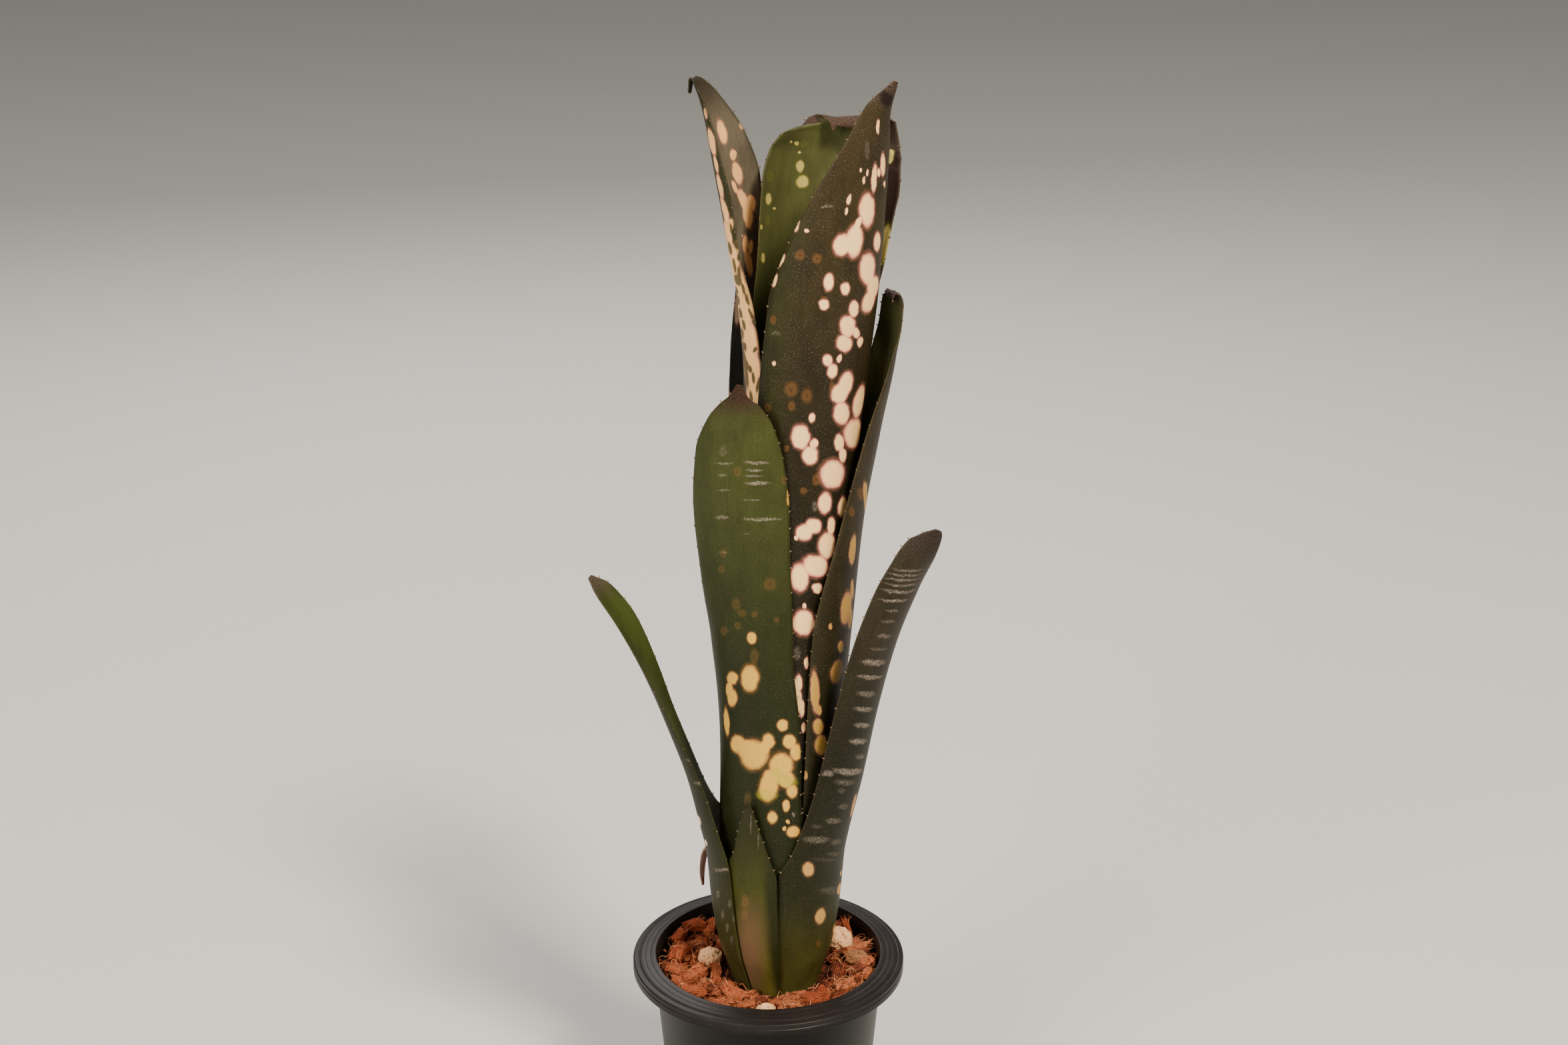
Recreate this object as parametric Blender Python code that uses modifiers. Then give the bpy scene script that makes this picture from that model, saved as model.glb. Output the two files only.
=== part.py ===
"""A potted tube-forming bromeliad: overlapping leaf sheaths round a short stem, in a black nursery pot
of coconut-husk chips and pumice. Metres, +Z up, origin at the middle of the pot's underside."""

import math
import random

import bmesh
import bpy
import numpy as np
from mathutils import Euler, Matrix, Vector

# Pot
POT_HEIGHT = 0.095
RIM_RADIUS = 0.055
MOUTH_RADIUS = 0.0456
FOOT_RADIUS = 0.0385
FOOT_ROUNDING = 0.0010
POT_WALL = 0.0013
FLOOR_THICKNESS = 0.002
RIM_SLOPE = 0.0018
RIM_DEPTH = 0.0066
RIM_THICKNESS = 0.0015
RIM_ROUNDING = 0.0006
GROOVE_RADIUS = 0.0506
GROOVE_HALF_WIDTH = 0.0006
GROOVE_DEPTH = 0.0005
POT_SIDES = 40
DRAIN_HOLES = 6
DRAIN_SIDES = 10
DRAIN_RADIUS = 0.0035
DRAIN_CIRCLE = 0.027

# Potting mix: chips of coconut husk lie on a packed body, with a few pumice stones sunk in it
# The body's top, as radius and height: it dips to the plant and is heaped against the wall
MIX_SURFACE = [(0, 0.0845), (0.024, 0.0845), (0.034, 0.0868), (0.0423, 0.0895)]
MIX_SIDES = 32
MIX_ROUNDING = 0.0020
CLEARANCE = 0.0004
CHIPS = 66
CHIP_SEED = 13
CHIP_LENGTH = (0.007, 0.0125)
CHIP_WIDTH = (0.0045, 0.008)
CHIP_DEPTH = (0.0035, 0.006)
CHIP_ROUGHNESS = 0.16
CHIP_TILT = 0.42
CHIP_CEILING = 0.0942

# Chips lie between these shares of the mouth's area, their middles this share of their depth above the mix
CHIP_SPREAD = (0.16, 0.92)
CHIP_RISE = (-0.15, 0.22)

# Stones: middle x, y, z and radii, the lumps on each and the room that chips leave round it
STONE_LUMPS = 6
LUMP_SWELL = 0.10
STONE_ROOM = 0.0028
STONES = {
    "pumice_right": (0.0297, 0.0142, 0.0906, 0.0050, 0.0044, 0.0058),
    "pumice_left": (-0.0238, 0.0056, 0.0878, 0.0052, 0.0044, 0.0044),
    "pumice_front": (-0.0014, -0.0375, 0.0890, 0.0040, 0.0034, 0.0028),
    "stone_brown": (0.0361, 0.0019, 0.0896, 0.0044, 0.0038, 0.0032),
}

# Stem: a short disc that the sheaths stand on, with a core inside them
STEM_TOP = 0.086
STEM_RADIUS = 0.0058
STEM_ROUNDING = 0.0012
STEM_SIDES = 24
DISC_TOP = 0.0709
DISC_RADIUS = 0.0162
DISC_DEPTH = 0.0110

# Section of the disc below its top, as shares of its radius and depth
DISC_SECTION = [(1, 0), (1, 0.16), (0.8, 0.56), (0.45, 0.89)]

# Plant
SHEATH_FOOT = 0.0713
AXIS_X = 0.0045
LEAN_START = 0.100
LEAN_END = 0.450
LEAN = 0.021
LEAN_POWER = 2.1
BLADE_THICKNESS = 0.0008
TOOTH = 0.0011
TOOTH_PITCH = 0.010
TIP_CROWDING = 1.5

# Point and notch of a tooth and the start of the next one, as shares of the pitch and of the tooth's height
TOOTH_OUTLINE = [(0.26, 1), (0.24, 0), (1, 0)]

# Sheaths are cut level, and blades square to their midrib from this far above the bundle
SQUARING_HEIGHT = 0.045

# Outside of the bundle of sheaths, as height and radius, and the step from one sheath to the next
# at its foot and at its top
BUNDLE = [(SHEATH_FOOT, 0.0163), (0.084, 0.0188), (0.102, 0.0243), (0.120, 0.0272), (0.140, 0.0290)]
SHEATH_STEP = (0.00125, 0.00175)

# A sheath ends at least this far below the blade's first station
BLADE_GAP = 0.005

POT_BLACK = (0.02, 0.018, 0.017, 1)
MIX_BROWN = (0.30, 0.14, 0.075, 1)
PUMICE_TAN = (0.62, 0.52, 0.44, 1)
STONE_BROWN = (0.22, 0.13, 0.08, 1)
STEM_TAN = (0.32, 0.24, 0.13, 1)
LEAF_OLIVE = (0.16, 0.19, 0.05, 1)
LEAF_DUSK = (0.11, 0.095, 0.05, 1)
LEAF_GREEN = (0.19, 0.27, 0.07, 1)
DRY_BROWN = (0.30, 0.16, 0.10, 1)

# Each leaf has a sheath in one layer of the bundle, 0 outermost, with its half angles at foot and top,
# and a blade given by its midrib: height, distance from the plant's axis, azimuth and facing in degrees
# (0 to the front, 90 to the right), radius of the channel across, and the half widths left and right
# of the midrib seen from outside.
LEAVES = {
    "leaf_front_short": {
        "colour": LEAF_GREEN, "layer": 1, "azimuth": -28, "wrap": (29, 25), "rows": 10, "columns": 4,
        "blade": [
            (0.149, 0.0268, -28, -26, 0.026, 0.0072, 0.0086),
            (0.158, 0.0268, -28, -26, 0.024, 0.0052, 0.0056),
            (0.167, 0.0272, -28, -27, 0.016, 0.0026, 0.0026),
            (0.173, 0.0282, -28, -27, 0.010, 0.0008, 0.0008),
        ],
    },
    "leaf_left_low": {
        "colour": LEAF_GREEN, "layer": 0, "azimuth": -95, "wrap": (58, 52), "rows": 15, "columns": 6,
        "blade": [
            (0.152, 0.0320, -94, -90, 0.0280, 0.0190, 0.0225),
            (0.172, 0.0372, -93, -86, 0.018, 0.0125, 0.0140),
            (0.196, 0.0460, -93, -92, 0.012, 0.0088, 0.0088),
            (0.218, 0.0546, -93, -106, 0.011, 0.0076, 0.0076),
            (0.236, 0.0632, -93, -118, 0.011, 0.0072, 0.0070),
            (0.249, 0.0717, -93, -124, 0.011, 0.0054, 0.0052),
            (0.2555, 0.0768, -93, -126, 0.010, 0.0012, 0.0012),
        ],
    },
    "leaf_right_low": {
        "colour": LEAF_DUSK, "layer": 2, "azimuth": 58, "wrap": (66, 60), "rows": 15, "columns": 8,
        "blade": [
            (0.152, 0.0272, 58, 56, 0.0255, 0.0220, 0.0235),
            (0.175, 0.0316, 57, 50, 0.023, 0.0168, 0.0205),
            (0.205, 0.0364, 57, 46, 0.021, 0.0143, 0.0178),
            (0.235, 0.0422, 58, 42, 0.020, 0.0132, 0.0152),
            (0.258, 0.0490, 60, 38, 0.018, 0.0126, 0.0144),
            (0.272, 0.0546, 61, 36, 0.016, 0.0114, 0.0124),
            (0.280, 0.0580, 62, 36, 0.012, 0.0092, 0.0088),
            (0.2845, 0.0594, 62, 36, 0.008, 0.0034, 0.0036),
        ],
    },
    "leaf_front": {
        "colour": LEAF_OLIVE, "layer": 3, "azimuth": -42, "wrap": (78, 72), "rows": 19, "columns": 8,
        "blade": [
            (0.170, 0.0238, -42, -42, 0.0238, 0.0262, 0.0252),
            (0.203, 0.0246, -40, -38, 0.0242, 0.0238, 0.0232),
            (0.235, 0.0266, -39, -29, 0.0260, 0.0202, 0.0196),
            (0.262, 0.0300, -41, -22, 0.0290, 0.0190, 0.0202),
            (0.290, 0.0333, -42, -16, 0.0300, 0.0190, 0.0205),
            (0.312, 0.0350, -42, -13, 0.0280, 0.0172, 0.0176),
            (0.325, 0.0355, -42, -12, 0.0220, 0.0123, 0.0132),
            (0.332, 0.0357, -42, -12, 0.0130, 0.0072, 0.0082),
            (0.3350, 0.0358, -42, -12, 0.0070, 0.0040, 0.0040),
            (0.3400, 0.0358, -42, -12, 0.0040, 0.0010, 0.0010),
        ],
    },
    "leaf_right": {
        "colour": LEAF_DUSK, "layer": 4, "azimuth": 88, "wrap": (76, 72), "rows": 19, "columns": 8,
        "blade": [
            (0.170, 0.0223, 88, 88, 0.0223, 0.0258, 0.0260),
            (0.205, 0.0234, 88, 88, 0.0232, 0.0268, 0.0250),
            (0.241, 0.0250, 88, 90, 0.0240, 0.0290, 0.0225),
            (0.281, 0.0265, 88, 92, 0.0225, 0.0220, 0.0195),
            (0.315, 0.0297, 88, 96, 0.0190, 0.0175, 0.0160),
            (0.345, 0.0320, 89, 102, 0.0150, 0.0132, 0.0120),
            (0.360, 0.0322, 90, 105, 0.0130, 0.0104, 0.0084),
            (0.3685, 0.0306, 90, 105, 0.0120, 0.0085, 0.0068),
            (0.3700, 0.0284, 90, 105, 0.0100, 0.0050, 0.0045),
            (0.3680, 0.0266, 90, 105, 0.0080, 0.0014, 0.0014),
        ],
    },
    "leaf_back_left": {
        "colour": LEAF_DUSK, "layer": 3, "azimuth": -157, "wrap": (34, 36), "rows": 16, "columns": 6,
        "blade": [
            (0.170, 0.0240, -156, -154, 0.0235, 0.0150, 0.0160),
            (0.205, 0.0265, -155, -150, 0.0240, 0.0160, 0.0175),
            (0.250, 0.0305, -153, -146, 0.0240, 0.0170, 0.0190),
            (0.300, 0.0350, -150, -142, 0.0230, 0.0170, 0.0202),
            (0.340, 0.0380, -148, -140, 0.0210, 0.0150, 0.0182),
            (0.362, 0.0395, -146, -138, 0.0180, 0.0105, 0.0115),
            (0.376, 0.0402, -145, -138, 0.0140, 0.0050, 0.0050),
            (0.383, 0.0405, -145, -138, 0.0080, 0.0012, 0.0012),
        ],
    },
    "leaf_tall_right": {
        "colour": LEAF_DUSK, "layer": 5, "azimuth": 34, "wrap": (92, 88), "rows": 18, "columns": 10,
        "blade": [
            (0.180, 0.0205, 34, 34, 0.0205, 0.0300, 0.0290),
            (0.220, 0.0214, 34, 34, 0.0214, 0.0305, 0.0295),
            (0.260, 0.0220, 34, 34, 0.0220, 0.0305, 0.0300),
            (0.300, 0.0225, 34, 34, 0.0225, 0.0310, 0.0305),
            (0.340, 0.0235, 34, 34, 0.0235, 0.0320, 0.0285),
            (0.365, 0.0244, 34, 34, 0.0243, 0.0318, 0.0222),
            (0.385, 0.0242, 34, 34, 0.0240, 0.0267, 0.0204),
            (0.407, 0.0230, 36, 35, 0.0225, 0.0175, 0.0175),
            (0.424, 0.0232, 40, 36, 0.0180, 0.0105, 0.0120),
            (0.435, 0.0240, 44, 36, 0.0090, 0.0072, 0.0072),
            (0.442, 0.0252, 48, 36, 0.0042, 0.0036, 0.0038),
            (0.4465, 0.0262, 50, 36, 0.0030, 0.0010, 0.0010),
        ],
    },
    "leaf_tall_left": {
        "colour": LEAF_DUSK, "layer": 6, "azimuth": -97, "wrap": (84, 80), "rows": 18, "columns": 8,
        "blade": [
            (0.180, 0.0188, -97, -97, 0.0188, 0.0250, 0.0250),
            (0.240, 0.0199, -97, -97, 0.0199, 0.0240, 0.0240),
            (0.300, 0.0207, -97, -97, 0.0206, 0.0230, 0.0220),
            (0.335, 0.0220, -97, -95, 0.0202, 0.0225, 0.0190),
            (0.360, 0.0258, -97, -94, 0.0185, 0.0205, 0.0162),
            (0.385, 0.0318, -97, -102, 0.0155, 0.0180, 0.0140),
            (0.405, 0.0368, -97, -110, 0.0140, 0.0184, 0.0160),
            (0.423, 0.0416, -97, -116, 0.0120, 0.0142, 0.0136),
            (0.436, 0.0462, -97, -116, 0.0090, 0.0082, 0.0088),
            (0.443, 0.0500, -97, -116, 0.0060, 0.0042, 0.0048),
            (0.4445, 0.0515, -97, -116, 0.0040, 0.0022, 0.0022),
            (0.4395, 0.0520, -97, -116, 0.0030, 0.0008, 0.0008),
        ],
    },
    "leaf_tall_back": {
        "colour": LEAF_OLIVE, "layer": 7, "azimuth": 180, "wrap": (104, 98), "rows": 18, "columns": 10,
        "blade": [
            (0.180, 0.0171, 180, 180, 0.0171, 0.0280, 0.0280),
            (0.240, 0.0182, 180, 180, 0.0182, 0.0295, 0.0295),
            (0.300, 0.0190, 180, 180, 0.0190, 0.0310, 0.0310),
            (0.350, 0.0205, 180, 180, 0.0207, 0.0325, 0.0325),
            (0.380, 0.0227, 174, 180, 0.0235, 0.0340, 0.0338),
            (0.404, 0.0246, 173, 180, 0.0260, 0.0340, 0.0335),
            (0.415, 0.0247, 172, 180, 0.0270, 0.0306, 0.0298),
            (0.423, 0.0238, 170, 180, 0.0265, 0.0280, 0.0260),
            (0.4275, 0.0222, 169, 180, 0.0320, 0.0230, 0.0216),
            (0.4295, 0.0202, 170, 180, 0.0600, 0.0186, 0.0176),
            (0.4290, 0.0182, 172, 180, 0.0400, 0.0085, 0.0080),
            (0.4245, 0.0166, 174, 180, 0.0100, 0.0009, 0.0009),
        ],
    },
    "leaf_dried": {
        "colour": DRY_BROWN, "layer": -1, "azimuth": -142, "wrap": (26, 22), "rows": 10, "columns": 4,
        "blade": [
            (0.1255, 0.0312, -138, -136, 0.020, 0.0070, 0.0070),
            (0.1300, 0.0336, -132, -130, 0.008, 0.0045, 0.0045),
            (0.1315, 0.0358, -127, -124, 0.006, 0.0034, 0.0034),
            (0.1275, 0.0376, -124, -119, 0.006, 0.0028, 0.0028),
            (0.1200, 0.0380, -123, -118, 0.006, 0.0020, 0.0020),
            (0.1135, 0.0374, -123, -118, 0.005, 0.0007, 0.0007),
        ],
    },
}


def clear_scene():
    for old in list(bpy.data.objects):
        bpy.data.objects.remove(old, do_unlink=True)


def new_collection(name):
    collection = bpy.data.collections.new(name)
    bpy.context.scene.collection.children.link(collection)
    return collection


def new_material(name, colour, roughness):
    material = bpy.data.materials.new(name)
    material.use_nodes = True
    shader = material.node_tree.nodes["Principled BSDF"]
    shader.inputs["Base Color"].default_value = colour
    shader.inputs["Roughness"].default_value = roughness
    shader.inputs["Metallic"].default_value = 0.0
    return material


def mesh_object(name, bm, collection, material=None):
    mesh = bpy.data.meshes.new(name)
    bm.to_mesh(mesh)
    bm.free()
    obj = bpy.data.objects.new(name, mesh)
    collection.objects.link(obj)
    if material:
        mesh.materials.append(material)
    return obj


def turned_object(name, profile, sides, collection, material=None):
    """A solid of revolution. The profile runs from the axis at the top, down the outside, to the axis."""
    bm = bmesh.new()
    verts = [bm.verts.new((radius, 0, height)) for radius, height in profile]
    for start, end in zip(verts, verts[1:]):
        bm.edges.new((start, end))
    obj = mesh_object(name, bm, collection, material)
    screw = obj.modifiers.new("Turn", "SCREW")
    screw.steps = sides
    screw.render_steps = sides
    screw.use_merge_vertices = True
    screw.merge_threshold = 0.00001
    return obj


def make_guide(obj):
    obj.hide_render = True
    obj.display_type = "WIRE"


def add_boolean(obj, operation, collection):
    cut = obj.modifiers.new(operation.title(), "BOOLEAN")
    cut.operation = operation
    cut.operand_type = "COLLECTION"
    cut.collection = collection
    cut.solver = "EXACT"


def apply_modifiers(obj):
    depsgraph = bpy.context.evaluated_depsgraph_get()
    mesh = bpy.data.meshes.new_from_object(obj.evaluated_get(depsgraph))
    obj.modifiers.clear()
    obj.data = mesh


def empty_collection(collection):
    for obj in list(collection.objects):
        bpy.data.objects.remove(obj, do_unlink=True)
    bpy.data.collections.remove(collection)


def smooth_through(knots, values, at):
    """Cubic through the stations with slopes that never overshoot them."""
    knots = np.asarray(knots, float)
    values = np.asarray(values, float)
    steps = np.diff(knots)[:, None]
    rises = np.diff(values, axis=0) / steps
    slopes = np.zeros_like(values)
    same_way = rises[:-1] * rises[1:] > 0
    weights = steps[1:] + 2 * steps[:-1], 2 * steps[1:] + steps[:-1]
    with np.errstate(divide="ignore", invalid="ignore"):
        harmonic = (weights[0] + weights[1]) / (weights[0] / rises[:-1] + weights[1] / rises[1:])
    slopes[1:-1] = np.where(same_way, harmonic, 0)
    slopes[0], slopes[-1] = rises[0], rises[-1]
    cell = np.clip(np.searchsorted(knots, at, side="right") - 1, 0, len(knots) - 2)
    width = steps[cell]
    t = ((at - knots[cell])[:, None]) / width
    low, high = values[cell], values[cell + 1]
    return (
        (2 * t**3 - 3 * t**2 + 1) * low
        + (t**3 - 2 * t**2 + t) * width * slopes[cell]
        + (3 * t**2 - 2 * t**3) * high
        + (t**3 - t**2) * width * slopes[cell + 1]
    )


def axis_x(height):
    """The plant's axis leans to the right as it rises."""
    share = np.clip((np.asarray(height, float) - LEAN_START) / (LEAN_END - LEAN_START), 0, None)
    return AXIS_X + LEAN * share**LEAN_POWER


def bundle_radius(height, layer):
    heights = [h for h, _ in BUNDLE]
    outside = np.interp(height, heights, [r for _, r in BUNDLE])
    step = np.interp(height, [heights[0], heights[-1]], SHEATH_STEP)
    return outside - layer * step


def sheath_stations(leaf):
    """The lower part of a leaf, rolled concentrically round the stem in its own layer."""
    stations = []
    heights = [h for h, _ in BUNDLE if h < leaf["blade"][0][0] - BLADE_GAP]
    for height in heights:
        radius = bundle_radius(height, leaf["layer"])
        share = (height - heights[0]) / (BUNDLE[-1][0] - heights[0])
        half_angle = math.radians(leaf["wrap"][0] + (leaf["wrap"][1] - leaf["wrap"][0]) * share)
        half_width = radius * half_angle
        stations.append((height, radius, leaf["azimuth"], leaf["azimuth"], radius, half_width, half_width))
    return stations


def leaf_stations(leaf):
    return np.array(sheath_stations(leaf) + leaf["blade"], float)


def leaf_midrib(leaf):
    return midrib_points(leaf_stations(leaf))


def midrib_points(stations):
    height, out, azimuth = stations[:, 0], stations[:, 1], np.radians(stations[:, 2])
    return np.stack([axis_x(height) + out * np.sin(azimuth), -out * np.cos(azimuth), height], 1)


def arc_lengths(points):
    return np.concatenate([[0], np.cumsum(np.linalg.norm(np.diff(points, axis=0), axis=1))])


def unit(vectors):
    return vectors / np.linalg.norm(vectors, axis=1)[:, None]


def leaf_surface(leaf, along, across, beyond):
    """Points of the leaf's middle surface. along runs 0 to 1 from foot to tip, across -1 to 1 from the
    left margin to the right one, and beyond reaches out past the margin, in metres."""
    stations = leaf_stations(leaf)
    midrib = midrib_points(stations)
    knots = arc_lengths(midrib)
    table = np.column_stack([midrib, np.radians(stations[:, 3]), stations[:, 4:]])
    at = along * knots[-1]
    nudge = knots[-1] * 1e-3
    rows = smooth_through(knots, table, at)
    ahead = smooth_through(knots, midrib, np.clip(at + nudge, 0, knots[-1]))
    behind = smooth_through(knots, midrib, np.clip(at - nudge, 0, knots[-1]))
    tangent = unit(ahead - behind)
    facing, bend = rows[:, 3], rows[:, 4]
    level = np.zeros_like(facing)
    sideways = np.stack([np.cos(facing), np.sin(facing), level], 1)
    tilt = np.clip((rows[:, 2] - BUNDLE[-1][0]) / SQUARING_HEIGHT, 0, 1)[:, None]
    side = unit(sideways - tilt * (sideways * tangent).sum(1)[:, None] * tangent)
    flat_outward = np.stack([np.sin(facing), -np.cos(facing), level], 1)
    outward = unit((1 - tilt) * flat_outward + tilt * np.cross(side, tangent))
    half_width = np.where(across < 0, rows[:, 5], rows[:, 6])
    angle = across * half_width / bend
    rim = side * np.cos(angle)[:, None] - outward * np.sin(angle)[:, None]
    points = (
        rows[:, :3]
        + side * (bend * np.sin(angle))[:, None]
        - outward * (bend * (1 - np.cos(angle)))[:, None]
    )
    return points + rim * (np.sign(across) * beyond)[:, None]


def row_places(leaf):
    """Where each row lies from foot to tip: at the same heights in every sheath, then closing up."""
    knots = arc_lengths(leaf_midrib(leaf))
    sheath = knots[:len(sheath_stations(leaf))] / knots[-1]
    share = np.linspace(0, 1, leaf["rows"] - len(sheath) + 2)[1:]
    return np.concatenate([sheath, sheath[-1] + (1 - sheath[-1]) * (1 - (1 - share) ** TIP_CROWDING)])


def build_leaf(name, leaf, collection):
    """A flat grid with hooked teeth along its margins, bent to the leaf's shape and thickened."""
    rows, columns = leaf["rows"], leaf["columns"]
    bm = bmesh.new()
    bmesh.ops.create_grid(bm, x_segments=columns, y_segments=rows, size=1)
    for vert in bm.verts:
        vert.co.y = (vert.co.y + 1) / 2 * rows
    if leaf["layer"] >= 0:
        add_teeth(bm, rows, row_places(leaf) * arc_lengths(leaf_midrib(leaf))[-1])
    flat = np.array([v.co[:] for v in bm.verts])
    along = np.interp(flat[:, 1], range(rows + 1), row_places(leaf))
    points = leaf_surface(leaf, along, flat[:, 0], flat[:, 2])
    for vert, point in zip(bm.verts, points):
        vert.co = point
    bmesh.ops.triangulate(bm, faces=bm.faces[:])
    obj = mesh_object(name, bm, collection, new_material(name, leaf["colour"], 0.5))
    thicken = obj.modifiers.new("Thickness", "SOLIDIFY")
    thicken.thickness = BLADE_THICKNESS
    thicken.offset = 0
    obj.data.shade_smooth()
    return obj


def add_teeth(bm, rows, lengths):
    """Hooked teeth along the margins above the sheath, an even distance apart. While the grid is flat,
    its Z holds how far a vertex reaches past the margin."""
    for row in range(len(BUNDLE) - 1, rows - 1):
        edges = [
            edge for edge in bm.edges
            if all(abs(abs(v.co.x) - 1) < 1e-4 for v in edge.verts)
            and abs(min(v.co.y for v in edge.verts) - row) < 1e-3
            and abs(max(v.co.y for v in edge.verts) - row - 1) < 1e-3
        ]
        teeth = max(1, round((lengths[row + 1] - lengths[row]) / TOOTH_PITCH))
        cut = bmesh.ops.subdivide_edges(bm, edges=edges, cuts=3 * teeth - 1)
        for vert in {v for v in cut["geom_inner"] if isinstance(v, bmesh.types.BMVert)}:
            tooth, point = divmod(round((vert.co.y - row) * 3 * teeth) - 1, 3)
            vert.co.y = row + (tooth + TOOTH_OUTLINE[point][0]) / teeth
            vert.co.z = TOOTH_OUTLINE[point][1] * TOOTH


def rim_top(radius):
    """The top of the rim falls evenly from the mouth to its edge."""
    return POT_HEIGHT - RIM_SLOPE * (radius - MOUTH_RADIUS) / (RIM_RADIUS - MOUTH_RADIUS)


def build_pot(collection, cutters):
    """A thin turned nursery pot with a folded, grooved rim and a ring of drain holes."""
    skirt = POT_HEIGHT - RIM_DEPTH
    groove_in = GROOVE_RADIUS - GROOVE_HALF_WIDTH
    groove_out = GROOVE_RADIUS + GROOVE_HALF_WIDTH
    edge = RIM_RADIUS - RIM_ROUNDING
    fold_in = RIM_RADIUS - POT_WALL
    fold_top = fold_in - RIM_ROUNDING
    wall_out = MOUTH_RADIUS + POT_WALL
    corner = wall_out + RIM_ROUNDING
    profile = [
        (0, FLOOR_THICKNESS),
        (FOOT_RADIUS - POT_WALL, FLOOR_THICKNESS),
        (MOUTH_RADIUS, POT_HEIGHT - RIM_ROUNDING),
        (MOUTH_RADIUS + RIM_ROUNDING, rim_top(MOUTH_RADIUS)),
        (groove_in, rim_top(groove_in)),
        (GROOVE_RADIUS, rim_top(GROOVE_RADIUS) - GROOVE_DEPTH),
        (groove_out, rim_top(groove_out)),
        (edge, rim_top(edge)),
        (RIM_RADIUS, rim_top(RIM_RADIUS) - RIM_ROUNDING),
        (RIM_RADIUS, skirt + RIM_ROUNDING),
        (edge, skirt),
        (fold_in, skirt),
        (fold_top, rim_top(fold_top) - RIM_THICKNESS),
        (corner, rim_top(corner) - RIM_THICKNESS),
        (wall_out, rim_top(corner) - RIM_THICKNESS - RIM_ROUNDING),
        (FOOT_RADIUS, FOOT_ROUNDING),
        (FOOT_RADIUS - FOOT_ROUNDING, 0),
        (0, 0),
    ]
    pot = turned_object("pot", profile, POT_SIDES, collection, new_material("pot", POT_BLACK, 0.45))
    holes = bpy.data.collections.new("Drain holes")
    cutters.children.link(holes)
    for number in range(DRAIN_HOLES):
        turn = math.tau * number / DRAIN_HOLES
        bm = bmesh.new()
        bmesh.ops.create_cone(
            bm, cap_ends=True, segments=DRAIN_SIDES, radius1=DRAIN_RADIUS, radius2=DRAIN_RADIUS,
            depth=FLOOR_THICKNESS * 4,
            matrix=Matrix.Translation((DRAIN_CIRCLE * math.cos(turn), DRAIN_CIRCLE * math.sin(turn), 0)),
        )
        make_guide(mesh_object(f"drain_hole_{number + 1}", bm, holes))
    add_boolean(pot, "DIFFERENCE", holes)
    return pot


def pot_inside(height):
    """Inner radius of the pot's wall."""
    share = (height - FLOOR_THICKNESS) / (POT_HEIGHT - RIM_ROUNDING - FLOOR_THICKNESS)
    foot = FOOT_RADIUS - POT_WALL
    return foot + (MOUTH_RADIUS - foot) * share


def mix_radius(height):
    return pot_inside(height) - 2 * CLEARANCE


def mix_height(radius):
    radii, heights = zip(*MIX_SURFACE)
    return float(np.interp(radius, radii, heights))


def plant_room(height):
    """Radius round the plant's axis that the bundle of sheaths needs, the dried leaf included."""
    return bundle_radius(height, -1) + BLADE_THICKNESS / 2 + CLEARANCE


def disc_section(margin):
    """The underside of the stem's disc, or of the hollow that it lies in when there is a margin."""
    section = [
        (DISC_RADIUS * across + margin, DISC_TOP - DISC_DEPTH * depth - margin)
        for across, depth in DISC_SECTION
    ]
    return section + [(0, DISC_TOP - DISC_DEPTH - margin)]


def build_stem(collection):
    """The core that the leaves grow round, on the disc that their sheaths stand on."""
    profile = [
        (0, STEM_TOP),
        (STEM_RADIUS - STEM_ROUNDING, STEM_TOP),
        (STEM_RADIUS, STEM_TOP - STEM_ROUNDING),
        (STEM_RADIUS, DISC_TOP),
    ]
    profile += disc_section(0)
    stem = turned_object("stem", profile, STEM_SIDES, collection, new_material("stem", STEM_TAN, 0.7))
    stem.location.x = AXIS_X
    return stem


def plant_pocket(cutters):
    """The hole in the mix that the stem's disc and the sheaths stand in."""
    heights = [BUNDLE[2][0], BUNDLE[1][0], SHEATH_FOOT - CLEARANCE]
    profile = [(0, heights[0])]
    profile += [(plant_room(height), height) for height in heights]
    profile += disc_section(CLEARANCE)
    pocket = turned_object("plant_pocket", profile, MIX_SIDES, cutters)
    pocket.location.x = AXIS_X
    make_guide(pocket)


def stone_mesh(name, collection, place, radii, grow, rng, material=None):
    """A rounded stone with a lumpy surface. grow adds the same margin all round."""
    bm = bmesh.new()
    bmesh.ops.create_icosphere(bm, subdivisions=2, radius=1)
    lumps = [
        Vector((rng.gauss(0, 1), rng.gauss(0, 1), rng.gauss(0, 1))).normalized()
        for _ in range(STONE_LUMPS)
    ]
    for vert in bm.verts:
        swell = 1 + LUMP_SWELL * max(vert.co.dot(lump) for lump in lumps)
        vert.co = Vector([place[i] + (radii[i] * swell + grow) * vert.co[i] for i in range(3)])
    return mesh_object(name, bm, collection, material)


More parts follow.
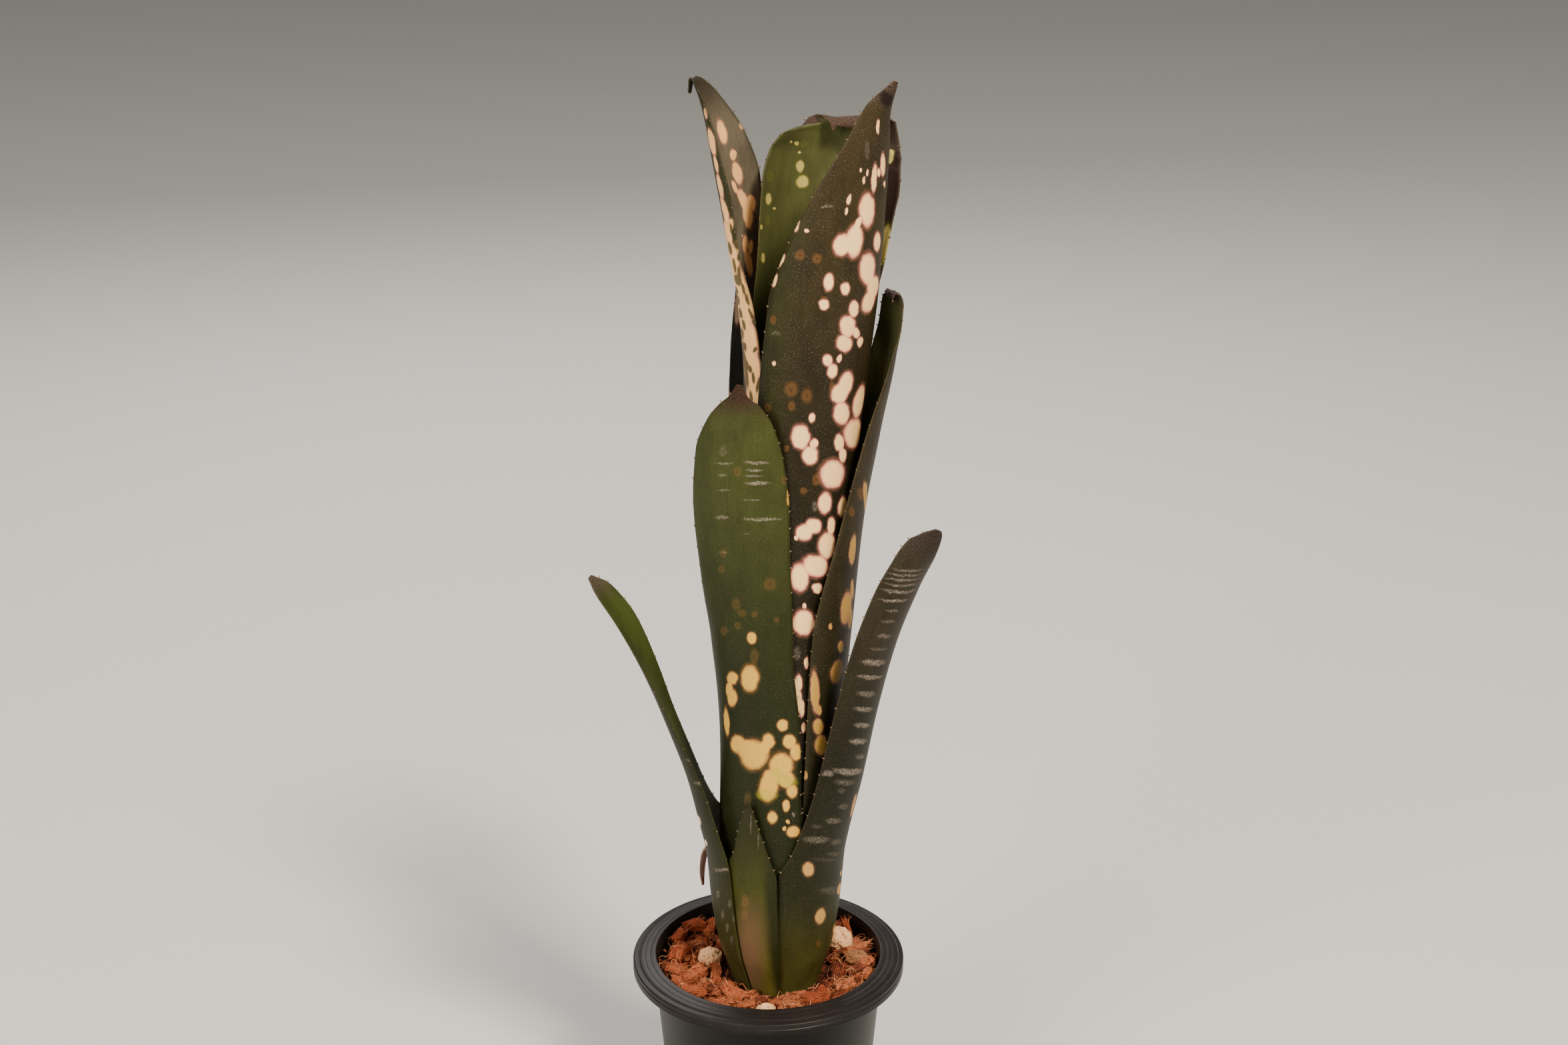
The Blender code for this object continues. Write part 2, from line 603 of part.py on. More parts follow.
def build_chip(number, collection, rng):
    """One rough block of husk, lying on the mix clear of the pot's wall, the plant and the stones."""
    while True:
        radius = MOUTH_RADIUS * math.sqrt(rng.uniform(*CHIP_SPREAD))
        turn = rng.uniform(0, math.tau)
        size = (rng.uniform(*CHIP_LENGTH), rng.uniform(*CHIP_WIDTH), rng.uniform(*CHIP_DEPTH))
        rise = rng.uniform(*CHIP_RISE) * size[2]
        place = Vector((radius * math.cos(turn), radius * math.sin(turn), mix_height(radius) + rise))
        tilt = Euler((rng.gauss(0, CHIP_TILT), rng.gauss(0, CHIP_TILT), rng.uniform(0, math.pi)))
        spin = tilt.to_matrix()
        corners = []
        for x in (-0.5, 0.5):
            for y in (-0.5, 0.5):
                for z in (-0.5, 0.5):
                    rough = [1 + rng.uniform(-CHIP_ROUGHNESS, CHIP_ROUGHNESS) for _ in range(3)]
                    corner = Vector((x * size[0] * rough[0], y * size[1] * rough[1], z * size[2] * rough[2]))
                    corners.append(place + spin @ corner)
        if chip_fits(corners):
            break
    bm = bmesh.new()
    bmesh.ops.create_cube(bm, size=1)
    for vert in bm.verts:
        order = (vert.co.x > 0) * 4 + (vert.co.y > 0) * 2 + (vert.co.z > 0)
        vert.co = corners[order]
    bmesh.ops.triangulate(bm, faces=bm.faces[:])
    return mesh_object(f"chip_{number}", bm, collection)


def chip_fits(corners):
    axis = Vector((AXIS_X, 0))
    for corner in corners:
        flat = corner.xy
        if flat.length > mix_radius(corner.z):
            return False
        if (flat - axis).length < plant_room(corner.z) + CLEARANCE:
            return False
    middle = sum(corners, Vector()) / len(corners)
    for x, y, z, *radii in STONES.values():
        if (middle - Vector((x, y, z))).length < max(radii) + STONE_ROOM:
            return False
    return max(corner.z for corner in corners) < CHIP_CEILING


def build_mix(collection, cutters):
    """The packed mix with chips joined to its top, a pocket for the plant and a socket for each stone."""
    rng = random.Random(CHIP_SEED)
    floor = FLOOR_THICKNESS + CLEARANCE
    shoulder = MIX_SURFACE[-1][1] - MIX_ROUNDING
    profile = MIX_SURFACE + [
        (mix_radius(shoulder), shoulder),
        (mix_radius(floor), floor),
        (0, floor),
    ]
    material = new_material("potting_mix", MIX_BROWN, 0.9)
    mix = turned_object("potting_mix", profile, MIX_SIDES, collection, material)
    chips = bpy.data.collections.new("Chips")
    cutters.children.link(chips)
    for number in range(CHIPS):
        build_chip(number + 1, chips, rng)
    sockets = bpy.data.collections.new("Sockets")
    cutters.children.link(sockets)
    plant_pocket(sockets)
    for number, (name, stone) in enumerate(STONES.items()):
        colour = STONE_BROWN if name == "stone_brown" else PUMICE_TAN
        shape = (stone[:3], stone[3:])
        stone_mesh(name, collection, *shape, 0, random.Random(number), new_material(name, colour, 0.85))
        stone_mesh(name + "_socket", sockets, *shape, CLEARANCE, random.Random(number))
    add_boolean(mix, "UNION", chips)
    add_boolean(mix, "DIFFERENCE", sockets)
    apply_modifiers(mix)
    empty_collection(chips)
    empty_collection(sockets)
    return mix


def main():
    clear_scene()
    parts = new_collection("Potted bromeliad")
    cutters = new_collection("Cutters")
    build_pot(parts, cutters)
    build_mix(parts, cutters)
    build_stem(parts)
    for name, leaf in LEAVES.items():
        build_leaf(name, leaf, parts)


main()
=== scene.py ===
# Potted kolan candy cup billbergia: spotted, spiny leaves furled into a tall tube, in a black nursery pot.
# Lengths are metres unless a name says mm. +Z is up and the front of the plant faces -Y.

import itertools
import math
import random

import bpy
import numpy as np
from mathutils import Euler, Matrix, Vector, noise


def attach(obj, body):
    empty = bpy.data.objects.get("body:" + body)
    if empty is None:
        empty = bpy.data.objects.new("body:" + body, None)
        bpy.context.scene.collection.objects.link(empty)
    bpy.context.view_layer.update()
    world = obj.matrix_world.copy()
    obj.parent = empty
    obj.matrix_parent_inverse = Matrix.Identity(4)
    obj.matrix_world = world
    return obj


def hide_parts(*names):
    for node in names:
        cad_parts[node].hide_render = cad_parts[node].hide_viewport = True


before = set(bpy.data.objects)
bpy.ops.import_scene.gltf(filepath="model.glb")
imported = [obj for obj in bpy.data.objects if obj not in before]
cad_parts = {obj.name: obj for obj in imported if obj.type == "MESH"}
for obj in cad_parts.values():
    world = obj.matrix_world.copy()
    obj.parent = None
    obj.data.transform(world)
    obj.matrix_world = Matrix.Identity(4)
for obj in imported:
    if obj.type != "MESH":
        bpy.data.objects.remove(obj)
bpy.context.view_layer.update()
print("frame loaded:", len(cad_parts), "nodes")


# Small helpers for picking, applying and joining

def selectNothing():
    if bpy.context.mode != "OBJECT":
        bpy.ops.object.mode_set(mode="OBJECT")
    bpy.ops.object.select_all(action="DESELECT")


def newPiece(addPrimitive, **settings):
    selectNothing()
    addPrimitive(**settings)
    return bpy.context.object


def pick(*pieces):
    selectNothing()
    for piece in pieces:
        piece.select_set(True)
    bpy.context.view_layer.objects.active = pieces[0]


def applyPlace(piece):
    pick(piece)
    bpy.ops.object.transform_apply(location=True, rotation=True, scale=True)


def applyModifiers(piece):
    pick(piece)
    for modifier in list(piece.modifiers):
        bpy.ops.object.modifier_apply(modifier=modifier.name)


def joinAll(pieces):
    pick(*pieces)
    bpy.ops.object.join()
    return bpy.context.view_layer.objects.active


def selectFaces(piece, wanted):
    # called in object mode, leaves the piece in edit mode with the wanted faces picked
    pick(piece)
    bpy.ops.object.mode_set(mode="EDIT")
    bpy.ops.mesh.select_mode(type="FACE")
    bpy.ops.mesh.select_all(action="DESELECT")
    bpy.ops.object.mode_set(mode="OBJECT")
    for face in piece.data.polygons:
        face.select = wanted(face)
    bpy.ops.object.mode_set(mode="EDIT")


def finishPiece(piece, name, node, slotName, *materials):
    piece.name = name
    piece.data.name = name
    for material in materials:
        piece.data.materials.append(material)
    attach(piece, "root")
    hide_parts(node)


def getPoints(mesh):
    flat = np.empty(len(mesh.vertices) * 3)
    mesh.vertices.foreach_get("co", flat)
    return flat.reshape(-1, 3)


def setPoints(mesh, points):
    mesh.vertices.foreach_set("co", np.asarray(points, float).ravel())
    mesh.update()


def setVectors(mesh, name, vectors):
    layer = mesh.attributes.new(name, "FLOAT_VECTOR", "POINT")
    layer.data.foreach_set("vector", np.asarray(vectors, float).ravel())


def addCopy(name, piece, points):
    # a copy with its own mesh, its points moved
    copy = bpy.data.objects.new(name, piece.data.copy())
    bpy.context.collection.objects.link(copy)
    setPoints(copy.data, points)
    return copy


def ringPoint(radius, turn):
    return radius * math.cos(turn), radius * math.sin(turn)


def within(rng, *ranges):
    return [rng.uniform(low, high) for low, high in ranges]


# Node helpers. A colour is written as a colour picker shows it, 0 to 255

def ink(red, green, blue):
    shares = [value / 255 for value in (red, green, blue)]
    linear = [s / 12.92 if s <= 0.04045 else ((s + 0.055) / 1.055) ** 2.4 for s in shares]
    return (*linear, 1.0)


def wire(tree, value, socket):
    # a socket is linked, a plain value is set
    if isinstance(value, bpy.types.NodeSocket):
        tree.links.new(value, socket)
    else:
        socket.default_value = value


def addMath(tree, operation, *values, clamp=False):
    node = tree.nodes.new("ShaderNodeMath")
    node.operation = operation
    node.use_clamp = clamp
    for value, socket in zip(values, node.inputs):
        wire(tree, value, socket)
    return node.outputs[0]


def times(tree, first, second):
    return addMath(tree, "MULTIPLY", first, second)


def addVectorMath(tree, operation, *values):
    node = tree.nodes.new("ShaderNodeVectorMath")
    node.operation = operation
    for value, socket in zip(values, node.inputs):
        wire(tree, value, socket)
    return node.outputs["Value" if operation == "LENGTH" else "Vector"]


def stretch(tree, place, factors):
    return addVectorMath(tree, "MULTIPLY", place, factors)


def addMix(tree, share, first, second, blend="MIX"):
    node = tree.nodes.new("ShaderNodeMix")
    node.data_type = "RGBA"
    node.blend_type = blend
    for value, number in ((share, 0), (first, 6), (second, 7)):
        wire(tree, value, node.inputs[number])
    return node.outputs[2]


def brighten(tree, colour, amount):
    return addMix(tree, 1.0, colour, addVector(tree, amount, amount, amount), "MULTIPLY")


def addRange(tree, value, low, high, toLow=0.0, toHigh=1.0, soft=True):
    node = tree.nodes.new("ShaderNodeMapRange")
    node.interpolation_type = "SMOOTHSTEP" if soft else "LINEAR"
    for number, setting in enumerate((value, low, high, toLow, toHigh)):
        wire(tree, setting, node.inputs[number])
    return node.outputs[0]


def addNoise(tree, vector, scale, detail=2.0, roughness=0.5, output="Fac"):
    node = tree.nodes.new("ShaderNodeTexNoise")
    wire(tree, vector, node.inputs["Vector"])
    for name, setting in {"Scale": scale, "Detail": detail, "Roughness": roughness}.items():
        node.inputs[name].default_value = setting
    return node.outputs[output]


def addAttribute(tree, name):
    node = tree.nodes.new("ShaderNodeAttribute")
    node.attribute_name = name
    return node.outputs["Vector"]


def objectPlace(tree):
    return tree.nodes.new("ShaderNodeTexCoord").outputs["Object"]


def addParts(tree, vector):
    node = tree.nodes.new("ShaderNodeSeparateXYZ")
    wire(tree, vector, node.inputs[0])
    return node.outputs


def addVector(tree, *parts):
    node = tree.nodes.new("ShaderNodeCombineXYZ")
    for part, socket in zip(parts, node.inputs):
        wire(tree, part, socket)
    return node.outputs[0]


def addGroup(tree, group, **values):
    node = tree.nodes.new("ShaderNodeGroup")
    node.node_tree = group
    for name, value in values.items():
        wire(tree, value, node.inputs[name])
    return node.outputs


def newGroup(name, inputs, outputs):
    kinds = {float: "NodeSocketFloat", tuple: "NodeSocketColor", Vector: "NodeSocketVector"}
    group = bpy.data.node_groups.new(name, "ShaderNodeTree")
    for label, value in inputs.items():
        socket = group.interface.new_socket(label, in_out="INPUT", socket_type=kinds[type(value)])
        socket.default_value = value
    for label, kind in outputs.items():
        group.interface.new_socket(label, in_out="OUTPUT", socket_type=kinds[kind])
    source = group.nodes.new("NodeGroupInput").outputs
    sink = group.nodes.new("NodeGroupOutput").inputs
    return group, source, sink


def newMaterial(name, roughness=0.5, specular=0.5):
    material = bpy.data.materials.new(name)
    material.use_nodes = True
    shader = material.node_tree.nodes["Principled BSDF"]
    shader.inputs["Roughness"].default_value = roughness
    shader.inputs["Specular IOR Level"].default_value = specular
    return material, material.node_tree, shader


def addBump(tree, shader, height, distance, strength=1.0):
    node = tree.nodes.new("ShaderNodeBump")
    node.inputs["Strength"].default_value = strength
    node.inputs["Distance"].default_value = distance
    wire(tree, height, node.inputs["Height"])
    wire(tree, node.outputs[0], shader.inputs["Normal"])


# The camera stands where the photograph was taken from

photoView = {
    "pixels": (2352, 1568),
    "lensMm": 50.0,
    "sensorMm": 36.0,
    "eye": (-0.0025, -0.783, 0.547),
    "lookDown": 18.92,  # degrees below the level
    "turnRight": 0.65,  # degrees
}


def addCamera():
    rotation = (math.radians(90 - photoView["lookDown"]), 0, -math.radians(photoView["turnRight"]))
    bpy.ops.object.camera_add(location=photoView["eye"], rotation=rotation)
    camera = bpy.context.object
    camera.data.lens = photoView["lensMm"]
    camera.data.sensor_width = photoView["sensorMm"]
    bpy.context.scene.camera = camera


def photoAxes():
    # the camera's ways ahead and to the right, and the pixels that a metre takes one metre ahead
    down, turn = math.radians(photoView["lookDown"]), math.radians(photoView["turnRight"])
    ahead = (math.sin(turn) * math.cos(down), math.cos(turn) * math.cos(down), -math.sin(down))
    right = (math.cos(turn), -math.sin(turn), 0.0)
    return ahead, right, photoView["lensMm"] / photoView["sensorMm"] * photoView["pixels"][0]


def seenAt(points):
    # photograph pixels of points, and how far off they are
    ahead, right, zoom = photoAxes()
    wide, high = photoView["pixels"]
    offset = points - np.array(photoView["eye"])
    far = offset @ np.array(ahead)
    aside, rise = offset @ np.array(right), offset @ np.cross(right, ahead)
    return np.stack([wide / 2 + zoom * aside / far, high / 2 - zoom * rise / far], -1), far


def photoRay(x, y):
    # the way from the camera's eye through a pixel, one metre ahead
    ahead, right, zoom = photoAxes()
    ahead, right = Vector(ahead), Vector(right)
    wide, high = photoView["pixels"]
    return ahead + right * ((x - wide / 2) / zoom) - right.cross(ahead) * ((y - high / 2) / zoom)


# Leaves. A leaf's sheath is rolled round the stem in its own layer, 0 outermost, and its blade follows
# stations along the midrib: height, distance from the plant's axis, azimuth and facing in degrees
# (0 to the front, 90 to the right), radius of the channel across, half widths left and right.

plant = {
    "axisX": 0.0045,
    "lean": 0.021,
    "leanFrom": 0.100,
    "leanTo": 0.450,
    "leanPower": 2.1,
    "bundle": [(0.0713, 0.0163), (0.084, 0.0188), (0.102, 0.0243), (0.120, 0.0272), (0.140, 0.0290)],
    "sheathStep": (0.00125, 0.00175),  # from one layer to the next, at foot and top
    "bladeGap": 0.005,
    "squaring": 0.045,  # cut level below the bundle's top, square to the midrib this far above it
    "thickness": 0.0008,
    "edgeShare": 0.45,  # of the thickness left at the margin
    "edgePower": 6,  # how late across the leaf it thins
    "columns": 30,
    "rowStep": 0.0021,
    "fewestRows": 24,
    "tipCrowding": 1.35,
    "waverFrom": 0.09,  # along the leaf, where its margins begin to waver
    "waverRise": 0.05,
    "wavers": [(0.0135, 1.0, 0.6), (0.0061, 2.1, 0.4)],  # length, shift for each seed, share
}

spineShape = {
    "sides": 5,
    "length": 0.0011,
    "root": 0.00036,
    "neck": 0.62,  # of the root's radius, half way up
    "bends": [(0.25, 0.30, 0.6), (0.35, 0.18, 0.3)],  # share of the lean, share of the length, taper
    "sink": 0.00025,
    "hook": 0.55,  # lean of the point towards the leaf's tip, as a share of the length
    "tipward": 0.25,
    "sizes": (0.75, 1.2),
    "gap": 0.0084,
    "gapSpread": (0.75, 1.25),
    "tipGap": 0.0031,
    "tipZone": 0.050,  # the spines close up over this much of the blade
    "bareTip": 0.0012,
}

markSearch = {
    "chart": (500, 141),  # places along and across a leaf
    "near": 2.5,  # pixels
    "nearShare": 1.2,
    "depth": 0.004,  # a place this far behind the nearest is on another fold
    "leastMm": 0.3,
    "stretch": 1.6,  # the most that a slanting leaf lengthens a mark
    "pixelMm": 1 / 3.95,  # one photograph pixel at the plant
}


def smoothThrough(knots, values, at):
    # cubic through the stations whose slopes never overshoot them
    steps = np.diff(knots)[:, None]
    rises = np.diff(values, axis=0) / steps
    before, after = steps[1:] + 2 * steps[:-1], 2 * steps[1:] + steps[:-1]
    slopes = np.zeros_like(values)
    with np.errstate(divide="ignore", invalid="ignore"):
        even = (before + after) / (before / rises[:-1] + after / rises[1:])
    slopes[1:-1] = np.where(rises[:-1] * rises[1:] > 0, even, 0)
    slopes[0], slopes[-1] = rises[0], rises[-1]
    cell = np.clip(np.searchsorted(knots, at, side="right") - 1, 0, len(knots) - 2)
    width = steps[cell]
    t = (at - knots[cell])[:, None] / width
    return (
        (2 * t**3 - 3 * t**2 + 1) * values[cell]
        + (t**3 - 2 * t**2 + t) * width * slopes[cell]
        + (3 * t**2 - 2 * t**3) * values[cell + 1]
        + (t**3 - t**2) * width * slopes[cell + 1]
    )


def axisX(height):
    share = np.clip((height - plant["leanFrom"]) / (plant["leanTo"] - plant["leanFrom"]), 0, None)
    return plant["axisX"] + plant["lean"] * share ** plant["leanPower"]


def bundleRadius(height, layer):
    heights, radii = zip(*plant["bundle"])
    step = np.interp(height, (heights[0], heights[-1]), plant["sheathStep"])
    return np.interp(height, heights, radii) - layer * step


def leafStations(leaf):
    heights = [h for h, _ in plant["bundle"] if h < leaf["blade"][0][0] - plant["bladeGap"]]
    foot, top = plant["bundle"][0][0], plant["bundle"][-1][0]
    sheath = []
    for height in heights:
        radius = bundleRadius(height, leaf["layer"])
        half = radius * math.radians(np.interp(height, (foot, top), leaf["wrap"]))
        sheath.append((height, radius, leaf["azimuth"], leaf["azimuth"], radius, half, half))
    return np.array(sheath + leaf["blade"], float)


def midribPoints(stations):
    turn = np.radians(stations[:, 2])
    out = stations[:, 1]
    return np.stack([axisX(stations[:, 0]) + out * np.sin(turn), -out * np.cos(turn), stations[:, 0]], 1)


def alongMidrib(points):
    return np.concatenate([[0], np.cumsum(np.linalg.norm(np.diff(points, axis=0), axis=1))])


def unit(vectors):
    return vectors / np.linalg.norm(vectors, axis=1)[:, None]


def leafShape(leaf, along, across):
    # along is metres from the foot, across -1 to 1 from the left margin to the right one
    stations = leafStations(leaf)
    midrib = midribPoints(stations)
    knots = alongMidrib(midrib)
    charted = np.column_stack([midrib, np.radians(stations[:, 3]), stations[:, 4:]])
    rows = smoothThrough(knots, charted, along)
    nudge = knots[-1] * 1e-3
    ahead = smoothThrough(knots, midrib, np.clip(along + nudge, 0, knots[-1]))
    behind = smoothThrough(knots, midrib, np.clip(along - nudge, 0, knots[-1]))
    tangent = unit(ahead - behind)
    facing, bend = rows[:, 3], rows[:, 4]
    level = np.zeros_like(facing)
    sideways = np.stack([np.cos(facing), np.sin(facing), level], 1)
    square = np.clip((rows[:, 2] - plant["bundle"][-1][0]) / plant["squaring"], 0, 1)[:, None]
    side = unit(sideways - square * (sideways * tangent).sum(1)[:, None] * tangent)
    flatOut = np.stack([np.sin(facing), -np.cos(facing), level], 1)
    outward = unit((1 - square) * flatOut + square * np.cross(side, tangent))
    half = np.where(across < 0, rows[:, 5], rows[:, 6])
    angle = (across * half / bend)[:, None]
    points = (
        rows[:, :3] + side * bend[:, None] * np.sin(angle) - outward * bend[:, None] * (1 - np.cos(angle))
    )
    rim = side * np.cos(angle) - outward * np.sin(angle)
    normal = outward * np.cos(angle) + side * np.sin(angle)
    return {"points": points, "rim": rim, "normal": normal, "tangent": tangent, "half": half}


def leafLength(leaf):
    return alongMidrib(midribPoints(leafStations(leaf)))[-1]


def leafChart(leaf):
    # a fine chart of the leaf, to find where a mark seen in the photograph lies on it
    rows, columns = markSearch["chart"]
    along, across = np.linspace(0, leafLength(leaf), rows), np.linspace(-1, 1, columns)
    alongs, acrosses = [table.ravel() for table in np.meshgrid(along, across, indexing="ij")]
    shape = leafShape(leaf, alongs, acrosses)
    pixels, far = seenAt(shape["points"])
    place = np.stack([acrosses * shape["half"], alongs], -1) * 1000
    charts = {"pixels": pixels, "far": far, "place": place}
    return {name: table.reshape(rows, columns, *table.shape[1:]) for name, table in charts.items()}


def findMark(chart, mark):
    # mark: x, y, width, height in photograph pixels, and tilt in degrees with its top to the right.
    # Gives its centre on the leaf, its turn and its half sizes, in mm across and along
    x, y, wide, high, tilt = (*mark, 0)[:5]
    gap = np.linalg.norm(chart["pixels"] - (x, y), axis=-1)
    near = gap < max(markSearch["near"], gap.min() * markSearch["nearShare"])
    front = chart["far"] < chart["far"][near].min() + markSearch["depth"]
    gap = np.where(near & front, gap, np.inf)
    row, column = np.unravel_index(gap.argmin(), gap.shape)
    row = min(max(row, 1), gap.shape[0] - 2)
    column = min(max(column, 1), gap.shape[1] - 2)

    def slope(table):
        byColumn = (table[row, column + 1] - table[row, column - 1]) / 2
        byRow = (table[row + 1, column] - table[row - 1, column]) / 2
        return np.stack([byColumn, byRow], 1)

    toLeaf = slope(chart["place"]) @ np.linalg.inv(slope(chart["pixels"]))
    centre = chart["place"][row, column] + toLeaf @ (np.array([x, y]) - chart["pixels"][row, column])
    turn = math.radians(tilt)
    ellipse = np.array([[math.cos(turn), -math.sin(turn)], [math.sin(turn), math.cos(turn)]])
    turned, sizes, _ = np.linalg.svd(toLeaf @ (ellipse * (wide / 2, high / 2)))
    most = markSearch["stretch"] * max(wide, high) / 2 * markSearch["pixelMm"]
    return centre, math.atan2(turned[1, 0], turned[0, 0]), np.clip(sizes, markSearch["leastMm"], most)


def modelSpine():
    # a small hooked thorn, its root at the origin, rising along Z with its point leaning to X
    length, root = spineShape["length"], spineShape["root"]
    half = length / 2
    spine = newPiece(
        bpy.ops.mesh.primitive_cone_add, vertices=spineShape["sides"], radius1=root,
        radius2=root * spineShape["neck"], depth=half, location=(0, 0, half / 2 - spineShape["sink"]),
    )
    applyPlace(spine)
    selectFaces(spine, lambda face: face.normal.z > 0.9)
    lean = length * spineShape["hook"]
    for reach, rise, taper in spineShape["bends"]:
        bpy.ops.mesh.extrude_region_move(TRANSFORM_OT_translate={"value": (lean * reach, 0, length * rise)})
        bpy.ops.transform.resize(value=(taper, taper, taper))
    bpy.ops.object.mode_set(mode="OBJECT")
    spine.data.shade_smooth()
    return spine


def spinePlaces(leaf, rng):
    # from the top of the sheath to the tip, closer together near the tip
    length = leafLength(leaf)
    start = alongMidrib(midribPoints(leafStations(leaf)))[len(plant["bundle"]) - 1]
    places = []
    for side in (-1, 1):
        at = start + rng.uniform(0.2, 1) * spineShape["gap"]
        while at < length - spineShape["bareTip"]:
            places.append((at, side, rng.uniform(*spineShape["sizes"])))
            share = min(1, (length - at) / spineShape["tipZone"])
            gap = spineShape["tipGap"] + (spineShape["gap"] - spineShape["tipGap"]) * share
            at += gap * rng.uniform(*spineShape["gapSpread"])
    return places


def addSpines(leaf, spine):
    places = spinePlaces(leaf, random.Random(leaf["seed"]))
    along = np.array([place[0] for place in places])
    side = np.array([place[1] for place in places], float)
    shape = leafShape(leaf, along, side)
    base = getPoints(spine.data)
    copies = []
    for number, (_, _, size) in enumerate(places):
        tangent = shape["tangent"][number]
        out = shape["rim"][number] * side[number] + tangent * spineShape["tipward"]
        out = out / np.linalg.norm(out)
        tipward = tangent - out * (tangent @ out)
        tipward = tipward / np.linalg.norm(tipward)
        turn = np.stack([tipward, np.cross(out, tipward), out])
        copy = addCopy("spine", spine, (base * size) @ turn + shape["points"][number])
        setVectors(copy.data, "spinePlace", np.stack([base[:, 2] / spineShape["length"]] * 3, 1))
        copy.data.materials.append(spineMaterial)
        copies.append(copy)
    return copies


def rowPlaces(leaf):
    length = leafLength(leaf)
    rows = max(plant["fewestRows"], round(length / plant["rowStep"]))
    share = np.linspace(0, 1, rows + 1)
    return length * (1 - (1 - share) ** plant["tipCrowding"])


def buildLeaf(leaf, spine):
    length = leafLength(leaf)
    columns = plant["columns"]
    rowsAt = rowPlaces(leaf)
    rows = len(rowsAt) - 1
    addGrid = bpy.ops.mesh.primitive_grid_add
    piece = newPiece(addGrid, x_subdivisions=columns, y_subdivisions=rows, size=2)
    flat = getPoints(piece.data)
    along = np.interp((flat[:, 1] + 1) / 2 * rows, range(rows + 1), rowsAt)
    across = flat[:, 0]
    shape = leafShape(leaf, along, across)
    above = np.clip((along - plant["waverFrom"]) / plant["waverRise"], 0, 1)
    waves = [np.sin(along / size + shift * leaf["seed"]) * share for size, shift, share in plant["wavers"]]
    waver = leaf.get("waver", 0.0) * above * sum(waves)
    points = shape["points"] + shape["normal"] * (waver * np.abs(across) ** 3)[:, None]
    setPoints(piece.data, points)

    # the wall, thinner towards the margins
    body = piece.vertex_groups.new(name="body")
    for column in range(columns + 1):
        edge = abs(column / columns * 2 - 1)
        weight = 1 - (1 - plant["edgeShare"]) * edge ** plant["edgePower"]
        body.add([int(v) for v in range(column, len(flat), columns + 1)], weight, "REPLACE")
    wall = piece.modifiers.new("thickness", "SOLIDIFY")
    wall.thickness = plant["thickness"]
    wall.offset = 0
    wall.vertex_group = "body"
    applyModifiers(piece)
    piece.vertex_groups.clear()

    # what the skin reads: mm across and along, then mm from the margin, mm from the tip, and 1 outside
    walled = getPoints(piece.data)
    outside = ((walled - np.tile(points, (2, 1))) * np.tile(shape["normal"], (2, 1))).sum(1) > 0
    place = np.stack([across * shape["half"], along, np.zeros_like(along)], 1) * 1000
    fromEdge = (1 - np.abs(across)) * shape["half"] * 1000
    edge = np.tile(np.stack([fromEdge, (length - along) * 1000, fromEdge], 1), (2, 1))
    edge[:, 2] = outside
    setVectors(piece.data, "leafPlace", np.tile(place, (2, 1)))
    setVectors(piece.data, "leafEdge", edge)
    piece.data.shade_smooth()
    piece.data.materials.append(leafMaterial(leaf))
    spines = addSpines(leaf, spine) if leaf["layer"] >= 0 else []
    whole = joinAll([piece] + spines) if spines else piece
    finishPiece(whole, leaf["piece"], leaf["node"], leaf["slot"])
    print("leaf done:", leaf["piece"], len(whole.data.polygons), "faces")


# Leaf finishes

def addWobble(tree, place, scale, detail, reach):
    # the place moved about by soft noise, so that outlines are uneven
    shift = addNoise(tree, place, scale, detail, output="Color")
    centred = addVectorMath(tree, "SUBTRACT", shift, (0.5, 0.5, 0.5))
    return addVectorMath(tree, "MULTIPLY_ADD", centred, reach, place)


def addOval(tree, place, mark):
    # how far off a mark's centre the place is: 1 on its outline
    centre, turn, sizes = mark
    mapping = tree.nodes.new("ShaderNodeMapping")
    mapping.vector_type = "TEXTURE"
    wire(tree, place, mapping.inputs["Vector"])
    settings = {"Location": (*centre, 0), "Rotation": (0, 0, turn), "Scale": (*sizes, 1)}
    for name, setting in settings.items():
        mapping.inputs[name].default_value = setting
    return addVectorMath(tree, "LENGTH", mapping.outputs[0])


def makeMarkGroup(name, marks, wild):
    # how far a point is from the nearest mark: 0 in its middle, 1 on its outline
    group, source, sink = newGroup(name, {"Place": Vector((0, 0, 0))}, {"Distance": float})
    place = addWobble(group, source["Place"], 0.33, 1.5, (1.1, 1.6, 0.0))
    farOff = 9.0
    distance = farOff
    for number, mark in enumerate(marks):
        if number % 15 == 14:
            # Cycles runs out of room unless the later marks wait for the earlier ones
            place = addVectorMath(group, "MULTIPLY_ADD", distance, (0, 0, 1e-9), place)
        distance = addMath(group, "SMOOTH_MIN", distance, addOval(group, place, mark), 0.22)
    if wild:
        # random marks, outside the part that the photograph shows
        cells = group.nodes.new("ShaderNodeTexVoronoi")
        cells.voronoi_dimensions = "2D"
        cells.inputs["Scale"].default_value = 1 / wild["cell"]
        cells.inputs["Randomness"].default_value = 0.9
        wire(group, stretch(group, place, (1.0, 0.6, 1.0)), cells.inputs["Vector"])
        chance = addParts(group, cells.outputs["Color"])[0]
        reach = addRange(group, chance, 1 - wild["share"], 1.0, 0.02, 0.42, soft=False)
        ratio = addMath(group, "DIVIDE", cells.outputs["Distance"], reach)
        across = addParts(group, source["Place"])[0]
        left = addRange(group, across, wild["from"] - 1, wild["from"] + 1)
        right = addRange(group, across, wild["to"] - 1, wild["to"] + 1, 1.0, 0.0)
        ratio = addMath(group, "MULTIPLY_ADD", times(group, left, right), farOff, ratio)
        distance = addMath(group, "SMOOTH_MIN", distance, ratio, 0.2)
    wire(group, distance, sink["Distance"])
    return group


